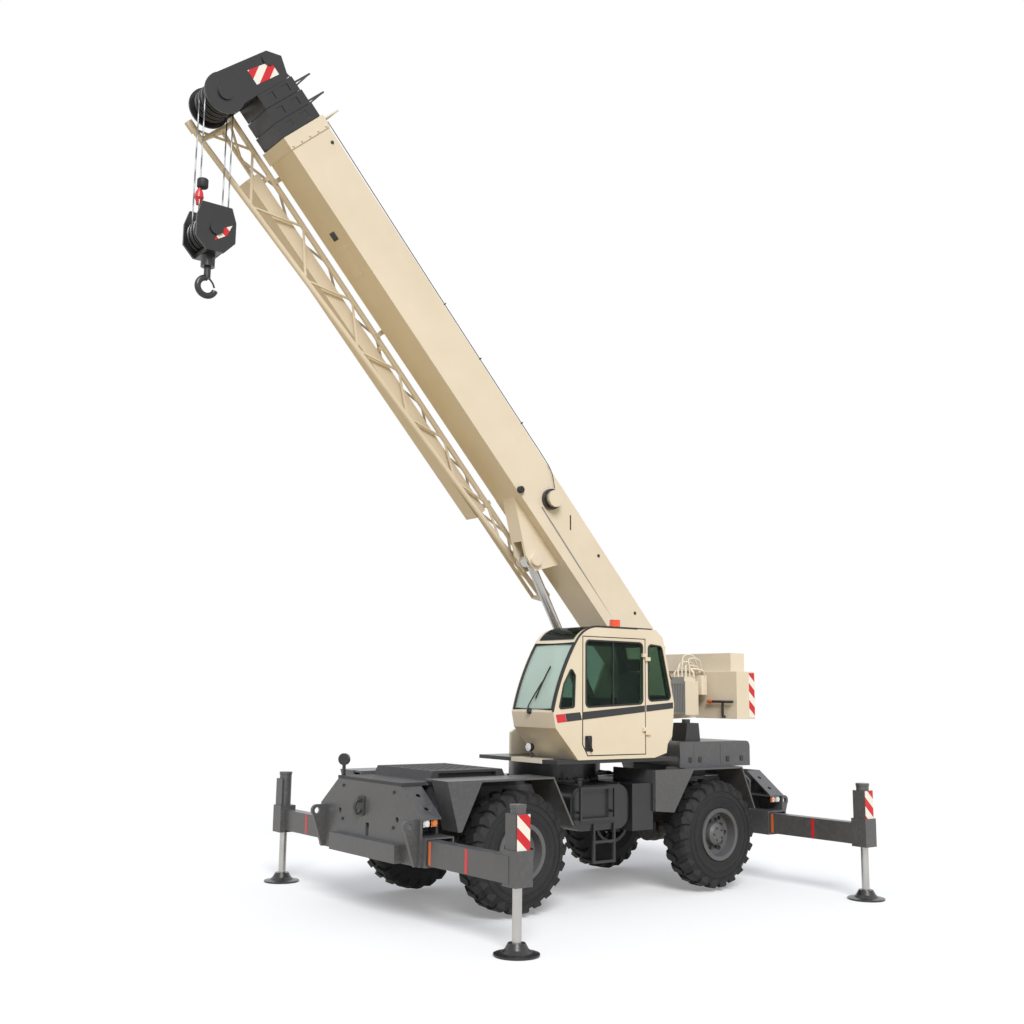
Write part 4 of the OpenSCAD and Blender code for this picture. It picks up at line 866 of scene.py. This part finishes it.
for u in (4.1, 5.2, 6.1):
    guides.append(tube([onBoom(u, 0.25, 0.59), onBoom(u, 0.25, 0.625)], 0.012, 8))
    eye = circle(onBoom(u, 0.25, 0.64), leftward, acrossBoom, 0.022, turnsOf(16))
    guides.append(tube(eye, 0.007, 6, True))
addPiece("cableGuides", guides, blackPaint, "boom")

# slewing ring and tanks: ring bolts, caps, straps
slewAt = middleOf("slew_bearing")
ringSpots = circle(spot(slewAt[0], 0, 1.53 + tyreLow), np.eye(3)[0], leftward, 0.635, turnsOf(36))
addPiece("ringBolts", bolts(ringSpots, (0, 0, 1), 0.012, 0.026), machinery, "carrier", False)
straps = []
tankCap = [(0.0, 0), (0.058, 0), (0.062, 0.012), (0.062, 0.032), (0.05, 0.042), (0.0, 0.042)]
for out in sides.values():
    for x in (0.02, 0.71):
        straps.append(tube([at(x, out * 0.62, 1.507), at(x, out * 1.19, 1.507)], 0.012, 6))
    straps.append(turned(tankCap, at(0.6, out * 1.04, 1.555), (0, 0, 1), 18))
addPiece("tankStrapsAndCaps", straps, machinery, "carrier")

# hood: latches and exhaust pipe
latches = []
for out in sides.values():
    for x in (-1.42, -1.62, -2.2, -2.5):
        latches.append(plate(roundLoop(rectangle(x - 0.03, 1.74, x + 0.03, 1.82), 0.012),
                             lambda a, b, d: at(a, out * (1.13 + d), b), 0.014, 0.004))
addPiece("hoodLatches", latches, blackPaint, "carrier")
exhaust = [(0.05, 0), (0.06, 0.0), (0.06, 0.16), (0.052, 0.16), (0.05, 0.0)]
addPiece("exhaustPipe", [turned(exhaust, at(-1.64, 0.84, 2.181), (0, 0, 1), 24)], machinery, "carrier")

# oil pipes by the winch and the cooler, and hoses from the turntable to the lift cylinder
pipes = []
for k in range(6):
    x, y = -1.86 - 0.03 * k, 0.40 + 0.05 * k
    reach = 0.05 * ((2 * k) % 5)
    bend = smoothPath([at(x, y, 2.955), at(x, y, 3.02 + reach / 2), at(-2.0, y - 0.03, 3.08 + reach),
                       at(-2.15, y + 0.04, 3.06 + reach), at(-2.22, y + 0.02, 2.98)])
    pipes.append(tube(bend, 0.012 + 0.004 * (k % 2), 8))
pipes.append(roundBox((-2.28, 0.40, 2.70), (-2.16, 0.68, 2.99), 0.02, at))
fitting = [(0.0, 0), (0.022, 0), (0.022, 0.03), (0.03, 0.035), (0.03, 0.06), (0.0, 0.07)]
for k in range(5):
    pipes.append(turned(fitting, at(-2.22, 0.43 + 0.055 * k, 2.985), (0.2, 0, 1), 12))
addPiece("oilPipes", pipes, boomPaint, "upper")
hoses = []
for y in (0.17, 0.215, 0.26):
    hoses.append(tube(smoothPath(at(np.array([-0.35, -0.3, -0.45, -0.62, -0.7]), y,
                                    np.array([1.85, 2.05, 2.25, 2.2, 1.86]))), 0.014, 8))
addPiece("slewHoses", hoses, hoseRubber, "upper")
lever = {"x": -2.30, "y": 0.96, "low": 2.38, "high": 2.60, "radius": 0.02}
leverFoot, leverTop = at(lever["x"], lever["y"], lever["low"]), at(lever["x"], lever["y"], lever["high"])
handleT = [tube([at(-2.345, lever["y"], lever["low"]), leverFoot], lever["radius"], 8),
           tube([leverFoot, leverTop], lever["radius"], 8),
           tube(at(lever["x"], np.array([0.74, 1.16]), lever["high"]), lever["radius"], 8)]
addPiece("weightHandle", handleT, blackPaint, "upper")
tip = [(0.0, 0), (0.024, 0), (0.026, 0.02), (0.026, 0.09), (0.018, 0.11), (0.0, 0.11)]
addPiece("weightHandleTip", [turned(tip, at(lever["x"], 0.76, lever["high"]), (0, -1, 0), 14)], orangePaint,
         "upper")

# carrier front: plate bolts, tow hook, mirror glass and deck treads
noseX = 3.209
spots = [at(noseX, y, z) for y in (-0.62, 0.62) for z in (1.06, 1.48)]
addPiece("noseBolts", bolts(spots, (1, 0, 0), 0.016, 0.014), machinery, "carrier", False)
tow = smoothPath(at(np.array([3.20, 3.27, 3.305, 3.27, 3.235]), -0.15,
                    np.array([1.31, 1.33, 1.25, 1.17, 1.20])))
towPlate = plate(roundLoop(rectangle(-0.23, 1.14, -0.07, 1.38), 0.03),
                 lambda a, b, d: at(noseX + d, a, b), 0.014, 0.004)
addPiece("towHook", [tube(tow, 0.022, 12), towPlate], machinery, "carrier")
mirrorAt = middleOf("road_mirror") + np.array([0, 0, 0.0645])
mirror = [(0.068, 0.0265), (0.066, 0.03), (0.0, 0.034)]
addPiece("mirrorGlass", [turned(mirror, mirrorAt, (-0.819, -0.574, 0), 28)], chrome, "carrier")
tread = {"pitch": 0.07, "deck": 1.715}
treadX, treadY = np.meshgrid(np.arange(1.66, 2.58, tread["pitch"]), np.arange(-0.6, 0.45, tread["pitch"]),
                             indexing="ij")
treadX, treadY = treadX.reshape(-1, 1), treadY.reshape(-1, 1)
ribShape = np.array([(-0.022, -0.004, 0), (0.022, -0.004, 0), (0.022, 0.004, 0), (-0.022, 0.004, 0),
                     (-0.016, 0.0, 0.004), (0.016, 0.0, 0.004)])
ribTurn = np.where((np.round(treadX / tread["pitch"]) + np.round(treadY / tread["pitch"])) % 2 > 0, 1.0, -1.0)
slant = math.sqrt(0.5)
ribX = slant * (ribShape[None, :, 0] - ribTurn * ribShape[None, :, 1])
ribY = slant * (ribTurn * ribShape[None, :, 0] + ribShape[None, :, 1])
ribPoints = at(treadX + ribX, treadY + ribY, ribShape[None, :, 2] + tread["deck"]).reshape(-1, 3)
ribFaces = np.array([(0, 1, 5, 4), (2, 3, 4, 5)])
ribQuads = (np.arange(len(treadX))[:, None, None] * len(ribShape) + ribFaces[None]).reshape(-1, 4)
addPiece("deckTread", [(ribPoints, ribQuads, [])], gripCoat, "carrier", False)
print("carrier dressed")


# studio: pale floor that turns to plain white away from the machine, and soft light
studio = {"floorRadius": 60.0, "shadowRadius": 11.0, "sunPower": 2.6, "sunAngle": 25,
          "sunRun": (-0.42, -0.72, -0.62), "worldPower": 0.6}


def seenDirectly(tree):
    # one for rays from the camera, off a gloss or through glass
    rays = addNode(tree, "LightPath").outputs
    seen = reckon(tree, "MAXIMUM", rays["Is Camera Ray"], rays["Is Glossy Ray"])
    return reckon(tree, "MAXIMUM", seen, rays["Is Transmission Ray"])


def makeFloor():
    # disc of rings: radius grows by a square law from the middle, so the near floor has small faces
    rings = np.linspace(0.02, 1, 24) ** 2 * studio["floorRadius"]
    turns = turnsOf(96)
    verts = spot(rings[:, None] * np.cos(turns), rings[:, None] * np.sin(turns), 0.0).reshape(-1, 3)
    quads = gridFaces(len(rings), len(turns), False, True)
    mesh = bpy.data.meshes.new("floor")
    mesh.from_pydata(verts.tolist(), [], quads.tolist() + [list(range(len(turns)))])
    floor = bpy.data.objects.new("floor", mesh)
    bpy.context.scene.collection.objects.link(floor)
    material, tree, place = newMaterial("paleStudioFloor")
    away = addNode(tree, "VectorMath", {0: place}, operation="LENGTH").outputs["Value"]
    fade = spread(tree, away, 0.0, 1.0, 0.55 * studio["shadowRadius"], studio["shadowRadius"])
    matt, dim = [addNode(tree, "BsdfDiffuse", {"Color": linear(tone)}).outputs[0]
                 for tone in ("#e6e6e6", "#d8c08a")]
    glow, white = [addNode(tree, "Emission", {"Color": linear("#ffffff"), "Strength": power}).outputs[0]
                   for power in (0.22, 1.0)]
    lit = addNode(tree, "AddShader", {0: matt, 1: glow}).outputs[0]
    faded = mixShaders(tree, fade, lit, white)
    finishWith(material, tree, mixShaders(tree, seenDirectly(tree), dim, faded))
    mesh.materials.append(material)


def makeLight():
    # an overcast sky all round and one broad sun from the left of the camera, high up
    sun = bpy.data.lights.new("sun", "SUN")
    sun.energy = studio["sunPower"]
    sun.angle = math.radians(studio["sunAngle"])
    lamp = bpy.data.objects.new("sun", sun)
    lamp.rotation_euler = Vector(studio["sunRun"]).to_track_quat("-Z", "Y").to_euler()
    bpy.context.scene.collection.objects.link(lamp)
    world = bpy.data.worlds.new("paleSky")
    world.use_nodes = True
    tree = world.node_tree
    tree.nodes.clear()
    sky = addNode(tree, "Background", {"Color": linear("#f4f7ff"), "Strength": studio["worldPower"]})
    white = addNode(tree, "Background", {"Color": linear("#ffffff"), "Strength": 1.0})
    shown = mixShaders(tree, seenDirectly(tree), sky.outputs[0], white.outputs[0])
    tree.links.new(shown, addNode(tree, "OutputWorld").inputs["Surface"])
    bpy.context.scene.world = world
    bpy.context.scene.view_settings.view_transform = "Standard"


# camera at the photograph's viewing angle, measured from the wheels and floats
view = {"x": 10.849, "y": 12.93, "z": 2.701, "yaw": -2.223, "pitch": 0.155, "roll": 0.012, "lens": 40.56}


def makeCamera():
    # columns of the turn are the camera's right, up and backward axes
    forward = np.array([math.cos(view["pitch"]) * math.cos(view["yaw"]),
                        math.cos(view["pitch"]) * math.sin(view["yaw"]), math.sin(view["pitch"])])
    right = np.cross(forward, [0, 0, 1.0])
    right = right / np.linalg.norm(right)
    up = np.cross(right, forward)
    tilted = math.cos(view["roll"]) * right + math.sin(view["roll"]) * up
    raised = -math.sin(view["roll"]) * right + math.cos(view["roll"]) * up
    turn = Matrix(np.stack([tilted, raised, -forward], 1).tolist()).to_4x4()
    camera = bpy.data.cameras.new("camera")
    camera.sensor_width = 36
    camera.lens = view["lens"]
    camera.clip_end = 300
    eye = bpy.data.objects.new("camera", camera)
    bpy.context.scene.collection.objects.link(eye)
    eye.matrix_world = Matrix.Translation(at(view["x"], view["y"], view["z"])) @ turn
    bpy.context.scene.camera = eye


makeFloor()
makeLight()
makeCamera()
print("studio made")
